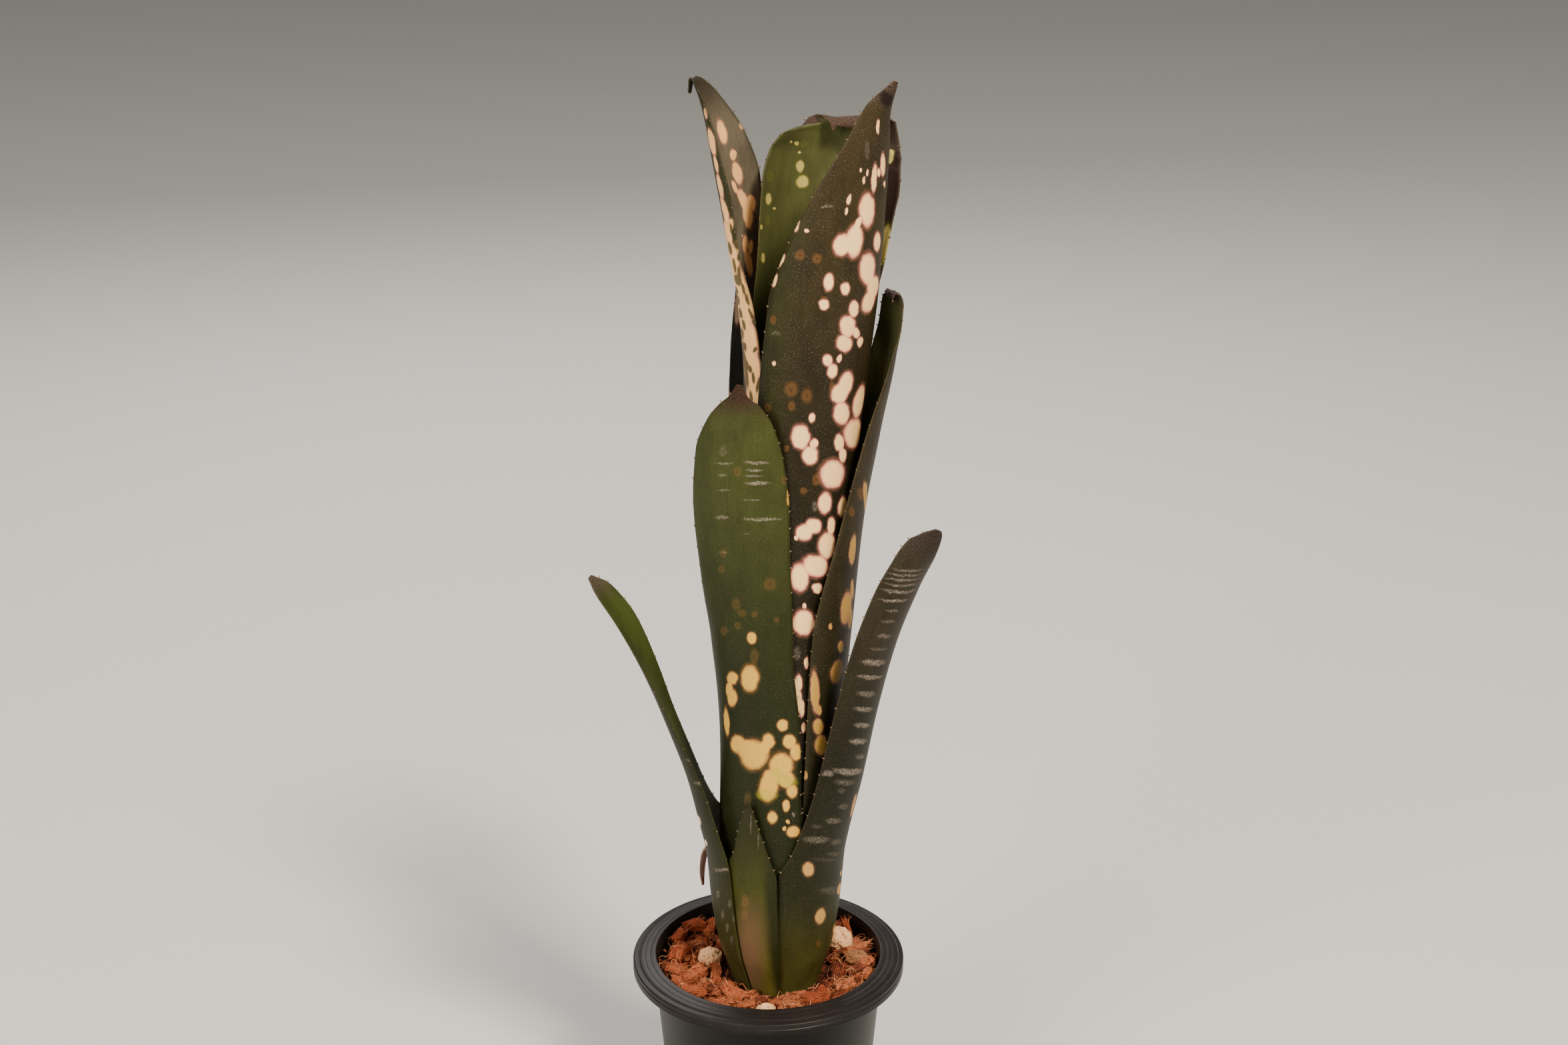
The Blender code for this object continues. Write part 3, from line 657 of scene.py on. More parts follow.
def makeBandGroup(name, bands):
    # cross-bands and dashes of silver scale, each a flat mark with its own strength
    group, source, sink = newGroup(name, {"Place": Vector((0, 0, 0))}, {"Bands": float})
    place = addWobble(group, source["Place"], 0.5, 2.0, (1.0, 1.6, 0.0))
    total = 0.0
    for mark, strength in bands:
        band = addRange(group, addOval(group, place, mark), 1.3, 0.45, 0.0, strength)
        total = addMath(group, "MAXIMUM", total, band)
    wire(group, total, sink["Bands"])
    return group


def makeSkinGroup():
    # flesh, veins, mottling, scale and marks of a leaf
    inputs = {
        "Place": Vector((0, 0, 0)), "Edge": Vector((0, 0, 0)),
        "Marks": 9.0, "Rings": 9.0, "Patches": 9.0, "Bands": 0.0,
        "Low": ink(48, 46, 24), "Middle": ink(48, 46, 24), "High": ink(48, 46, 24), "Base": ink(80, 64, 34),
        "Side": ink(48, 46, 24), "Inner": ink(60, 60, 34), "InnerSide": ink(60, 60, 34),
        "Shade": ink(34, 30, 20), "Tip": ink(90, 70, 60), "Ring": ink(120, 80, 40), "Core": ink(56, 34, 20),
        "Cream": ink(250, 212, 168), "CreamLow": ink(236, 196, 140), "Blush": ink(196, 140, 120),
        "Patch": ink(40, 40, 22), "Margin": ink(120, 98, 76), "Length": 300.0, "TipReach": 9.0,
        "BaseReach": 24.0, "SideFrom": 90.0, "SideTo": 91.0, "Mottle": 0.35, "Scale": 0.25, "PatchSoft": 0.2,
        "PatchShare": 0.9, "MarginShare": 0.2, "MarginWide": 0.5,
    }
    outputs = {"Colour": tuple, "Roughness": float, "Height": float}
    group, source, sink = newGroup("leafSkin", inputs, outputs)
    place = source["Place"]
    across, along, _ = addParts(group, place)
    fromEdge, fromTip, outer = addParts(group, source["Edge"])
    share = addMath(group, "DIVIDE", along, source["Length"])
    sideShare = addRange(group, across, source["SideFrom"], source["SideTo"])
    colour = addMix(group, addRange(group, share, 0.16, 0.50), source["Low"], source["Middle"])
    colour = addMix(group, addRange(group, share, 0.50, 0.92), colour, source["High"])
    colour = addMix(group, addRange(group, along, source["BaseReach"], 0.0), colour, source["Base"])
    colour = addMix(group, sideShare, colour, source["Side"])
    inner = addMix(group, sideShare, source["Inner"], source["InnerSide"])
    colour = addMix(group, outer, inner, colour)

    # soft blotches, long streaks between the veins, and a fine grain
    blotch = addNoise(group, stretch(group, place, (1.0, 0.45, 0.0)), 0.11, 4.0, 0.6)
    blotchShare = times(group, addRange(group, blotch, 0.36, 0.66), source["Mottle"])
    colour = addMix(group, blotchShare, colour, source["Shade"])
    streak = addNoise(group, stretch(group, place, (2.6, 0.07, 0.0)), 1.0, 3.0, 0.6)
    grain = addNoise(group, stretch(group, place, (3.1, 2.2, 0.0)), 1.0, 2.0, 0.7)
    streakBright = addRange(group, streak, 0.25, 0.75, 0.84, 1.16, soft=False)
    grainBright = addRange(group, grain, 0.25, 0.75, -0.22, 0.22, soft=False)
    colour = brighten(group, colour, addMath(group, "ADD", streakBright, grainBright))

    # cream marks with a blushing rim, yellower low down
    cream = addMix(group, addRange(group, share, 0.12, 0.45), source["CreamLow"], source["Cream"])
    cream = brighten(group, cream, addRange(group, streak, 0.2, 0.8, 0.92, 1.05, soft=False))
    rimmed = addMix(group, addRange(group, source["Marks"], 1.02, 0.72), source["Blush"], cream)

    # silver scale: loose flecks all over, thick on the cross-bands
    fleck = addNoise(group, stretch(group, place, (2.1, 1.5, 0.0)), 1.0, 3.0, 0.75)
    patch = addRange(group, addNoise(group, place, 0.13, 3.0, 0.6), 0.34, 0.66, 0.15, 0.7)
    loose = times(group, times(group, addRange(group, fleck, 0.54, 0.72), patch), source["Scale"])
    comb = addNoise(group, stretch(group, place, (2.4, 0.8, 0.0)), 1.0, 3.0, 0.8)
    banded = times(group, addRange(group, comb, 0.38, 0.66), source["Bands"])
    scale = addMath(group, "MULTIPLY", addMath(group, "MAXIMUM", loose, banded), outer, clamp=True)

    # the dry, scurfy tip
    tipEdge = addMath(group, "MULTIPLY_ADD", addMath(group, "SUBTRACT", blotch, 0.5), 14.0, fromTip)
    tipShare = addRange(group, tipEdge, source["TipReach"], times(group, source["TipReach"], 0.25))
    tipColour = addMix(group, addRange(group, fleck, 0.35, 0.65), source["Shade"], source["Tip"])

    patchFrom = addMath(group, "ADD", 1.0, source["PatchSoft"])
    patchTo = addMath(group, "SUBTRACT", 1.0, source["PatchSoft"])
    coats = [  # from the lowest to the topmost: where, how strong, and what
        (addRange(group, source["Rings"], 1.4, 0.55), 0.42, source["Ring"]),
        (addRange(group, source["Rings"], 0.5, 0.2), 0.45, source["Core"]),
        (addRange(group, source["Marks"], 1.36, 1.0), 0.2, source["Blush"]),
        (addRange(group, source["Marks"], 1.09, 0.92), 1.0, rimmed),
        (scale, 1.0, ink(184, 168, 150)),
        (tipShare, 1.0, tipColour),
        (addRange(group, source["Patches"], patchFrom, patchTo), source["PatchShare"], source["Patch"]),
        (addRange(group, fromEdge, source["MarginWide"], 0.1), source["MarginShare"], source["Margin"]),
    ]
    for mask, strength, coat in coats:
        colour = addMix(group, times(group, mask, strength), colour, coat)
    wire(group, colour, sink["Colour"])
    dull = addMath(group, "MAXIMUM", scale, tipShare)
    wire(group, addRange(group, dull, 0.0, 1.0, 0.48, 0.80, soft=False), sink["Roughness"])
    relief = addMath(group, "MULTIPLY_ADD", streak, 0.8, times(group, grain, 0.35))
    wire(group, addMath(group, "MULTIPLY_ADD", scale, 0.5, relief), sink["Height"])
    return group


skinGroup = makeSkinGroup()


def leafMaterial(leaf):
    material, tree, shader = newMaterial(leaf["piece"] + "Skin", specular=0.12)
    place = addAttribute(tree, "leafPlace")
    chart = leafChart(leaf)
    values = {name: ink(*colour) for name, colour in leaf["colours"].items()}
    values.update(leaf["values"])
    values["Length"] = leafLength(leaf) * 1000
    for label, wild in (("Marks", leaf.get("wild")), ("Rings", None), ("Patches", None)):
        marks = [findMark(chart, mark) for mark in leaf.get(label.lower(), [])]
        if marks or wild:
            markGroup = makeMarkGroup(leaf["piece"] + label, marks, wild)
            values[label] = addGroup(tree, markGroup, Place=place)["Distance"]
    bands = [(findMark(chart, band[:4]), band[4]) for band in leaf.get("bands", [])]
    if bands:
        bandGroup = makeBandGroup(leaf["piece"] + "Bands", bands)
        values["Bands"] = addGroup(tree, bandGroup, Place=place)["Bands"]
    skin = addGroup(tree, skinGroup, Place=place, Edge=addAttribute(tree, "leafEdge"), **values)
    wire(tree, skin["Colour"], shader.inputs["Base Color"])
    wire(tree, skin["Roughness"], shader.inputs["Roughness"])
    addBump(tree, shader, skin["Height"], 0.00012)
    return material


def makeSpineMaterial():
    # pale at the root, dark brown at the point
    material, tree, shader = newMaterial("spineHorn", roughness=0.4, specular=0.4)
    rise = addParts(tree, addAttribute(tree, "spinePlace"))[0]
    colour = addMix(tree, addRange(tree, rise, 0.0, 0.55), ink(120, 98, 66), ink(38, 24, 16))
    wire(tree, colour, shader.inputs["Base Color"])
    return material


spineMaterial = makeSpineMaterial()


# The leaves, one dictionary each. Marks, rings and patches are as the photograph shows them: x, y, width
# and height in its pixels, and the tilt in degrees of one that leans. A band of scale ends in its strength.
# Wild marks fill the rest of the leaf, outside from and to (mm across), in cells of so many mm.

leafFrontShort = {
    "piece": "leafFrontShort", "node": "leaf_front_short", "slot": "leaf_olive", "seed": 3, "layer": 1,
    "azimuth": -28, "wrap": (29, 25),
    "blade": [
        (0.149, 0.0268, -28, -26, 0.026, 0.0072, 0.0086),
        (0.158, 0.0268, -28, -26, 0.024, 0.0052, 0.0056),
        (0.167, 0.0272, -28, -27, 0.016, 0.0026, 0.0026),
        (0.173, 0.0282, -28, -27, 0.01, 0.0008, 0.0008),
    ],
    "colours": {
        "Low": (92, 88, 28), "Middle": (60, 63, 18), "High": (38, 38, 16), "Inner": (50, 54, 22),
        "Shade": (40, 38, 17), "Tip": (44, 34, 22), "Base": (102, 86, 36), "Patch": (118, 84, 64),
        "Side": (34, 36, 11), "Ring": (120, 84, 44), "Core": (84, 46, 26), "Margin": (40, 28, 18),
    },
    "values": {
        "TipReach": 3, "BaseReach": 40, "SideFrom": 5, "SideTo": 9.5, "Scale": 0.15, "PatchSoft": 0.75,
        "PatchShare": 0.7,
    },
    "rings": [(1118, 1352, 11, 20), (1117, 1372, 9, 16)],
    "patches": [(1121, 1438, 40, 120)],
    "bands": [(1168, 1297, 5, 14, 0.5), (1127, 1236, 3, 30, 0.3), (1138, 1262, 3, 24, 0.25)],
}

leafLeftLow = {
    "piece": "leafLeftLow", "node": "leaf_left_low", "slot": "leaf_green", "seed": 5, "layer": 0,
    "azimuth": -95, "wrap": (58, 52),
    "blade": [
        (0.152, 0.032, -94, -90, 0.028, 0.019, 0.0225),
        (0.172, 0.0372, -93, -86, 0.018, 0.0125, 0.014),
        (0.196, 0.046, -93, -92, 0.012, 0.0088, 0.0088),
        (0.218, 0.0546, -93, -106, 0.011, 0.0076, 0.0076),
        (0.236, 0.0632, -93, -118, 0.011, 0.0072, 0.007),
        (0.249, 0.0717, -93, -124, 0.011, 0.0054, 0.0052),
        (0.2555, 0.0768, -93, -126, 0.01, 0.0012, 0.0012),
    ],
    "colours": {
        "Low": (48, 46, 15), "Middle": (30, 31, 11), "High": (48, 44, 24), "Inner": (58, 64, 25),
        "Shade": (36, 35, 16), "Tip": (88, 73, 62), "Base": (68, 63, 27),
    },
    "values": {"TipReach": 13, "BaseReach": 60, "Mottle": 0.4, "MarginShare": 0},
    "marks": [(1050, 1231, 7, 17), (1060, 1264, 7, 10)],
    "bands": [
        (1082, 1305, 34, 6, 0.5), (1063, 1306, 5, 14, 0.5), (1068, 1212, 6, 20, 0.35),
        (1050, 1175, 20, 6, 0.4), (1036, 1140, 16, 5, 0.4), (1020, 1100, 12, 5, 0.35),
        (1078, 1342, 5, 14, 0.35), (1085, 1372, 5, 14, 0.35), (1095, 1356, 5, 12, 0.3),
        (1092, 1392, 5, 14, 0.35), (1102, 1378, 5, 12, 0.25), (1098, 1410, 5, 14, 0.25),
    ],
    "wild": {"from": -14, "to": 30, "cell": 11, "share": 0.25},
}

leafRightLow = {
    "piece": "leafRightLow", "node": "leaf_right_low", "slot": "leaf_banded", "seed": 8, "layer": 2,
    "azimuth": 58, "wrap": (66, 60),
    "blade": [
        (0.152, 0.0272, 58, 56, 0.0255, 0.022, 0.0235),
        (0.175, 0.0316, 57, 50, 0.023, 0.0168, 0.0205),
        (0.205, 0.0364, 57, 46, 0.021, 0.0143, 0.0178),
        (0.235, 0.0422, 58, 42, 0.02, 0.0132, 0.0152),
        (0.258, 0.049, 60, 38, 0.018, 0.0126, 0.0144),
        (0.272, 0.0546, 61, 36, 0.016, 0.0114, 0.0124),
        (0.28, 0.0574, 62, 36, 0.012, 0.009, 0.0084),
        (0.2837, 0.0582, 62, 36, 0.008, 0.0044, 0.004),
        (0.285, 0.0585, 62, 36, 0.006, 0.001, 0.001),
    ],
    "colours": {
        "Low": (35, 36, 13), "Middle": (26, 25, 11), "High": (46, 40, 26), "Inner": (46, 46, 24),
        "Shade": (25, 21, 11), "Blush": (110, 80, 50), "Tip": (66, 54, 48), "Base": (84, 80, 32),
        "Cream": (190, 140, 78), "CreamLow": (190, 146, 76),
    },
    "values": {"TipReach": 17, "BaseReach": 64, "Mottle": 0.4, "MarginShare": 0.1},
    "marks": [
        (1212, 1304, 18, 23), (1230, 1374, 16, 25, 14), (1258, 1333, 7, 19, 8), (1260, 1310, 4, 9),
        (1250, 1392, 5, 16, 8), (1279, 1208, 4, 38, 14),
    ],
    "rings": [(1227, 1415, 9, 9)],
    "bands": [
        (1364, 856, 50, 4, 0.44), (1360, 863, 55, 4, 0.48), (1356, 870, 55, 4, 0.56),
        (1354, 878, 50, 4, 0.56), (1352, 888, 50, 5, 0.6), (1342, 901, 42, 5, 0.72),
        (1338, 916, 20, 4, 0.44), (1332, 932, 22, 5, 0.32), (1326, 954, 20, 7, 0.48),
        (1318, 974, 28, 4, 0.28), (1312, 994, 36, 9, 0.68), (1307, 1016, 36, 7, 0.68),
        (1300, 1041, 28, 9, 0.44), (1296, 1064, 28, 8, 0.6), (1294, 1088, 26, 8, 0.6),
        (1288, 1112, 28, 9, 0.72), (1290, 1135, 20, 8, 0.36), (1276, 1158, 46, 10, 0.76),
        (1242, 1160, 18, 10, 0.56), (1268, 1174, 30, 10, 0.28), (1262, 1186, 12, 8, 0.2),
        (1264, 1210, 18, 9, 0.25), (1250, 1231, 24, 9, 0.34), (1226, 1260, 40, 11, 0.34),
        (1254, 1263, 22, 9, 0.25), (1250, 1281, 26, 6, 0.2), (1238, 1290, 40, 6, 0.11),
        (1245, 1336, 38, 12, 0.17), (1226, 1240, 18, 6, 0.14),
    ],
    "wild": {"from": -40, "to": 14, "cell": 11, "share": 0.25},
}

leafFront = {
    "piece": "leafFront", "node": "leaf_front", "slot": "leaf_olive", "seed": 2, "waver": 0.00012,
    "layer": 3, "azimuth": -42, "wrap": (78, 72),
    "blade": [
        (0.17, 0.0238, -42, -42, 0.0238, 0.0262, 0.0252),
        (0.203, 0.0246, -40, -38, 0.0242, 0.0238, 0.0232),
        (0.235, 0.0266, -39, -29, 0.026, 0.0202, 0.0196),
        (0.262, 0.03, -41, -22, 0.029, 0.019, 0.0202),
        (0.29, 0.0333, -42, -16, 0.03, 0.019, 0.0205),
        (0.312, 0.035, -42, -13, 0.028, 0.0172, 0.0176),
        (0.325, 0.0355, -42, -12, 0.022, 0.0123, 0.0132),
        (0.332, 0.0357, -42, -12, 0.013, 0.0072, 0.0082),
        (0.335, 0.0358, -42, -12, 0.007, 0.004, 0.004),
        (0.34, 0.0358, -42, -12, 0.004, 0.001, 0.001),
    ],
    "colours": {
        "Low": (27, 30, 12), "Middle": (31, 35, 12), "High": (58, 62, 26), "Inner": (48, 50, 20),
        "Shade": (27, 25, 11), "Ring": (96, 74, 34), "Core": (50, 38, 18), "Tip": (66, 42, 32),
        "Base": (84, 66, 30), "Blush": (150, 104, 56), "Patch": (174, 160, 48), "Cream": (212, 164, 66),
        "CreamLow": (204, 156, 58), "Margin": (70, 58, 36),
    },
    "values": {
        "TipReach": 15, "BaseReach": 40, "Mottle": 0.3, "Scale": 0.22, "PatchSoft": 0.5, "PatchShare": 0.6,
    },
    "marks": [
        (1128, 957, 14, 18), (1125, 1017, 27, 40), (1099, 1017, 17, 20), (1095, 1034, 10, 24),
        (1099, 1047, 15, 26), (1091, 1082, 8, 42, -4), (1174, 1088, 16, 17), (1184, 1112, 20, 22),
        (1194, 1128, 18, 26), (1107, 1116, 22, 28), (1122, 1124, 34, 30), (1131, 1133, 42, 44),
        (1153, 1112, 19, 24), (1146, 1122, 20, 20), (1172, 1148, 36, 38, 20), (1178, 1168, 26, 28),
        (1153, 1180, 28, 44, 8), (1158, 1166, 28, 26), (1188, 1187, 17, 20), (1179, 1208, 11, 17),
        (1159, 1226, 15, 19), (1190, 1248, 21, 17), (1182, 1232, 6, 7), (1176, 1243, 5, 6),
        (1184, 746, 9, 26),
    ],
    "rings": [
        (1107, 707, 12, 14), (1105, 906, 12, 18), (1113, 919, 13, 11), (1087, 946, 11, 14),
        (1107, 938, 10, 11), (1132, 921, 9, 9), (1132, 985, 12, 22), (1085, 829, 11, 11),
        (1155, 876, 18, 20), (1165, 929, 8, 9), (1083, 853, 9, 11), (1122, 1200, 10, 22), (1176, 720, 8, 12),
    ],
    "patches": [(1177, 1170, 34, 18, 20), (1150, 1192, 26, 16), (1165, 1158, 12, 18)],
    "bands": [
        (1086, 695, 28, 4, 0.41), (1135, 694, 36, 5, 0.6), (1132, 705, 26, 4, 0.49),
        (1084, 712, 15, 4, 0.45), (1130, 714, 28, 4, 0.45), (1137, 725, 36, 6, 0.68),
        (1085, 735, 20, 3, 0.38), (1128, 750, 26, 3, 0.34), (1083, 776, 20, 5, 0.49),
        (1143, 779, 58, 5, 0.6), (1086, 828, 14, 4, 0.22), (1120, 800, 12, 3, 0.15),
        (1085, 676, 12, 18, 0.15), (1190, 1222, 5, 8, 0.45),
    ],
    "wild": {"from": -26, "to": 25, "cell": 13, "share": 0.4},
}

leafRight = {
    "piece": "leafRight", "node": "leaf_right", "slot": "leaf_dark", "seed": 7, "waver": 0.00015, "layer": 4,
    "azimuth": 88, "wrap": (76, 72),
    "blade": [
        (0.17, 0.0223, 88, 88, 0.0223, 0.0258, 0.026),
        (0.205, 0.0234, 88, 88, 0.0232, 0.0268, 0.025),
        (0.241, 0.025, 88, 90, 0.024, 0.029, 0.0225),
        (0.281, 0.0265, 88, 92, 0.0225, 0.022, 0.0195),
        (0.315, 0.0297, 88, 96, 0.019, 0.0175, 0.016),
        (0.345, 0.032, 89, 108, 0.016, 0.0126, 0.0116),
        (0.357, 0.0316, 90, 118, 0.018, 0.0092, 0.008),
        (0.365, 0.0308, 90, 124, 0.018, 0.0078, 0.0062),
        (0.3682, 0.0296, 90, 126, 0.009, 0.0064, 0.005),
        (0.368, 0.0284, 90, 128, 0.006, 0.0044, 0.004),
        (0.3664, 0.0282, 90, 130, 0.005, 0.0014, 0.0014),
    ],
    "colours": {
        "Low": (32, 30, 14), "Middle": (40, 36, 18), "High": (52, 43, 28), "Inner": (70, 70, 36),
        # the cream marks of this leaf are inked duller than on the other leaves: partly their own tone and
        # partly painted shade, for the shade this leaf stands in
        "Shade": (26, 22, 12), "Tip": (86, 71, 68), "Base": (44, 41, 20), "Cream": (180, 138, 64),
        "CreamLow": (176, 132, 60), "Blush": (170, 116, 84), "Margin": (84, 70, 46),
    },
    "values": {"Mottle": 0.5, "Scale": 0.35},
    "marks": [
        (1278, 825, 9, 44, 6), (1269, 912, 15, 50, 6), (1274, 928, 6, 30, 4), (1277, 885, 5, 28),
        (1245, 939, 5, 9), (1297, 745, 5, 44), (1260, 970, 8, 17), (1255, 1007, 17, 36, 12),
        (1222, 1038, 13, 62, -2), (1228, 1066, 8, 14), (1227, 1090, 15, 24), (1231, 1118, 17, 30),
        (1207, 1163, 7, 13),
    ],
    "rings": [(1277, 768, 9, 14), (1290, 740, 9, 18), (1270, 960, 12, 20)],
}

leafBackLeft = {
    "piece": "leafBackLeft", "node": "leaf_back_left", "slot": "leaf_dark", "seed": 9, "waver": 0.00015,
    "layer": 3, "azimuth": -157, "wrap": (34, 36),
    "blade": [
        (0.17, 0.024, -156, -154, 0.0235, 0.015, 0.016),
        (0.205, 0.0265, -155, -150, 0.024, 0.016, 0.0175),
        (0.25, 0.0305, -153, -146, 0.024, 0.017, 0.019),
        (0.3, 0.035, -150, -142, 0.023, 0.017, 0.0202),
        (0.34, 0.038, -148, -140, 0.021, 0.015, 0.0182),
        (0.362, 0.0395, -146, -138, 0.018, 0.0105, 0.0115),
        (0.376, 0.0402, -145, -138, 0.014, 0.005, 0.005),
        (0.383, 0.0405, -145, -138, 0.008, 0.0012, 0.0012),
    ],
    "colours": {
        "Low": (28, 27, 13), "Middle": (28, 25, 15), "High": (33, 28, 20), "Inner": (38, 35, 24),
        "Shade": (25, 22, 14), "Tip": (62, 52, 45), "Base": (38, 36, 18),
    },
    "values": {"TipReach": 11, "Mottle": 0.5, "Scale": 0.3, "MarginShare": 0.15},
    "wild": {"from": -90, "to": -80, "cell": 13, "share": 0.5},
}

leafTallRight = {
    "piece": "leafTallRight", "node": "leaf_tall_right", "slot": "leaf_spotted", "seed": 1, "waver": 0.0002,
    "layer": 5, "azimuth": 34, "wrap": (92, 88),
    "blade": [
        (0.18, 0.0205, 34, 34, 0.0205, 0.03, 0.029),
        (0.22, 0.0214, 34, 34, 0.0214, 0.0305, 0.0295),
        (0.26, 0.022, 34, 34, 0.022, 0.0305, 0.03),
        (0.3, 0.0225, 34, 34, 0.0225, 0.031, 0.0305),
        (0.34, 0.0235, 34, 34, 0.0235, 0.032, 0.0285),
        (0.365, 0.0244, 34, 34, 0.0243, 0.0318, 0.0222),
        (0.385, 0.0242, 34, 34, 0.024, 0.0267, 0.0204),
        (0.407, 0.023, 36, 35, 0.0225, 0.0175, 0.0175),
        (0.424, 0.0232, 40, 36, 0.018, 0.0105, 0.012),
        (0.435, 0.024, 44, 36, 0.009, 0.0072, 0.0072),
        (0.442, 0.0252, 48, 36, 0.0042, 0.0036, 0.0038),
        (0.4465, 0.0262, 50, 36, 0.003, 0.001, 0.001),
    ],
    "colours": {
        "Low": (25, 22, 11), "Middle": (27, 24, 10), "High": (51, 42, 22), "Inner": (46, 46, 25),
        "Shade": (26, 21, 12), "Tip": (84, 66, 54), "Base": (40, 36, 19), "Side": (44, 44, 18),
        "InnerSide": (46, 46, 25), "Cream": (255, 208, 140), "CreamLow": (220, 148, 90),
        # the Patch ink is painted shade, used only at the tip's curl
        "Blush": (214, 136, 116), "Patch": (26, 15, 11),
    },
    "values": {
        "TipReach": 11, "SideFrom": -15, "SideTo": -29, "Mottle": 0.45, "Scale": 0.35, "PatchSoft": 0.4,
        "MarginShare": 0.12,
    },
    "marks": [
        (1300, 315, 22, 50), (1263, 367, 25, 34, 20), (1281, 362, 25, 48, 6), (1286, 336, 9, 24, 16),
        (1301, 403, 23, 47, 2), (1310, 430, 17, 34, 8), (1303, 451, 17, 38, 18), (1315, 363, 10, 28, 2),
        (1243, 423, 15, 26, 6), (1267, 433, 14, 19), (1236, 456, 15, 15), (1280, 463, 14, 24),
        (1271, 489, 23, 32), (1283, 499, 11, 18), (1266, 515, 23, 25), (1241, 540, 15, 17),
        (1248, 556, 15, 22), (1258, 538, 7, 12, 16), (1268, 576, 20, 38, 14), (1259, 590, 24, 30, 20),
        (1262, 620, 23, 35), (1289, 513, 8, 16, 8), (1201, 655, 27, 36), (1215, 683, 23, 29),
        (1221, 665, 12, 13), (1258, 664, 14, 24), (1263, 682, 11, 22), (1249, 711, 35, 42, 10),
        (1237, 754, 19, 32, 4), (1206, 799, 24, 24), (1220, 789, 23, 22, 20), (1194, 807, 6, 8),
        (1240, 818, 24, 40, 6), (1224, 849, 38, 32, 20), (1199, 866, 27, 42), (1225, 882, 14, 16),
        (1205, 934, 33, 37), (1206, 909, 6, 9), (1209, 994, 7, 18), (1197, 1025, 12, 26),
        (1196, 1051, 13, 36), (1202, 1062, 9, 26), (1205, 1092, 7, 15), (1288, 602, 13, 50, 12),
        (1281, 650, 24, 44, 8), (1263, 760, 13, 30, 8), (1246, 788, 11, 26, 4), (1317, 258, 5, 14),
        (1316, 190, 5, 21), (1323, 247, 7, 34), (1310, 268, 8, 42, 4), (1300, 259, 4, 11),
        (1295, 270, 4, 11, 6), (1290, 255, 3, 7), (1325, 276, 3, 10), (1273, 299, 6, 17, 12),
        (1269, 317, 4, 11, 10), (1210, 346, 7, 7), (1162, 545, 6, 7), (1218, 627, 10, 14),
        (1173, 391, 6, 20, 22), (1195, 338, 9, 20, 12), (1163, 421, 5, 20, 16),
    ],
    "rings": [
        (1187, 584, 18, 22), (1210, 593, 16, 21), (1188, 609, 11, 13), (1247, 580, 8, 17),
        (1224, 719, 12, 16), (1205, 736, 10, 12), (1180, 673, 8, 9), (1226, 388, 14, 15),
        (1200, 383, 14, 15), (1160, 480, 9, 14), (1152, 612, 10, 12), (1235, 448, 8, 8),
    ],
    # the dark patch at the tip is painted shade: the dark hollow inside the tip's curl
    "patches": [(1330, 149, 18, 26, -20)],
    "bands": [
        (1240, 310, 20, 5, 0.35), (1222, 760, 10, 16, 0.3), (1195, 980, 12, 22, 0.3),
        (1165, 500, 16, 8, 0.2), (1300, 225, 8, 30, 0.2),
    ],
    "wild": {"from": -32, "to": 23, "cell": 15, "share": 0.55},
}

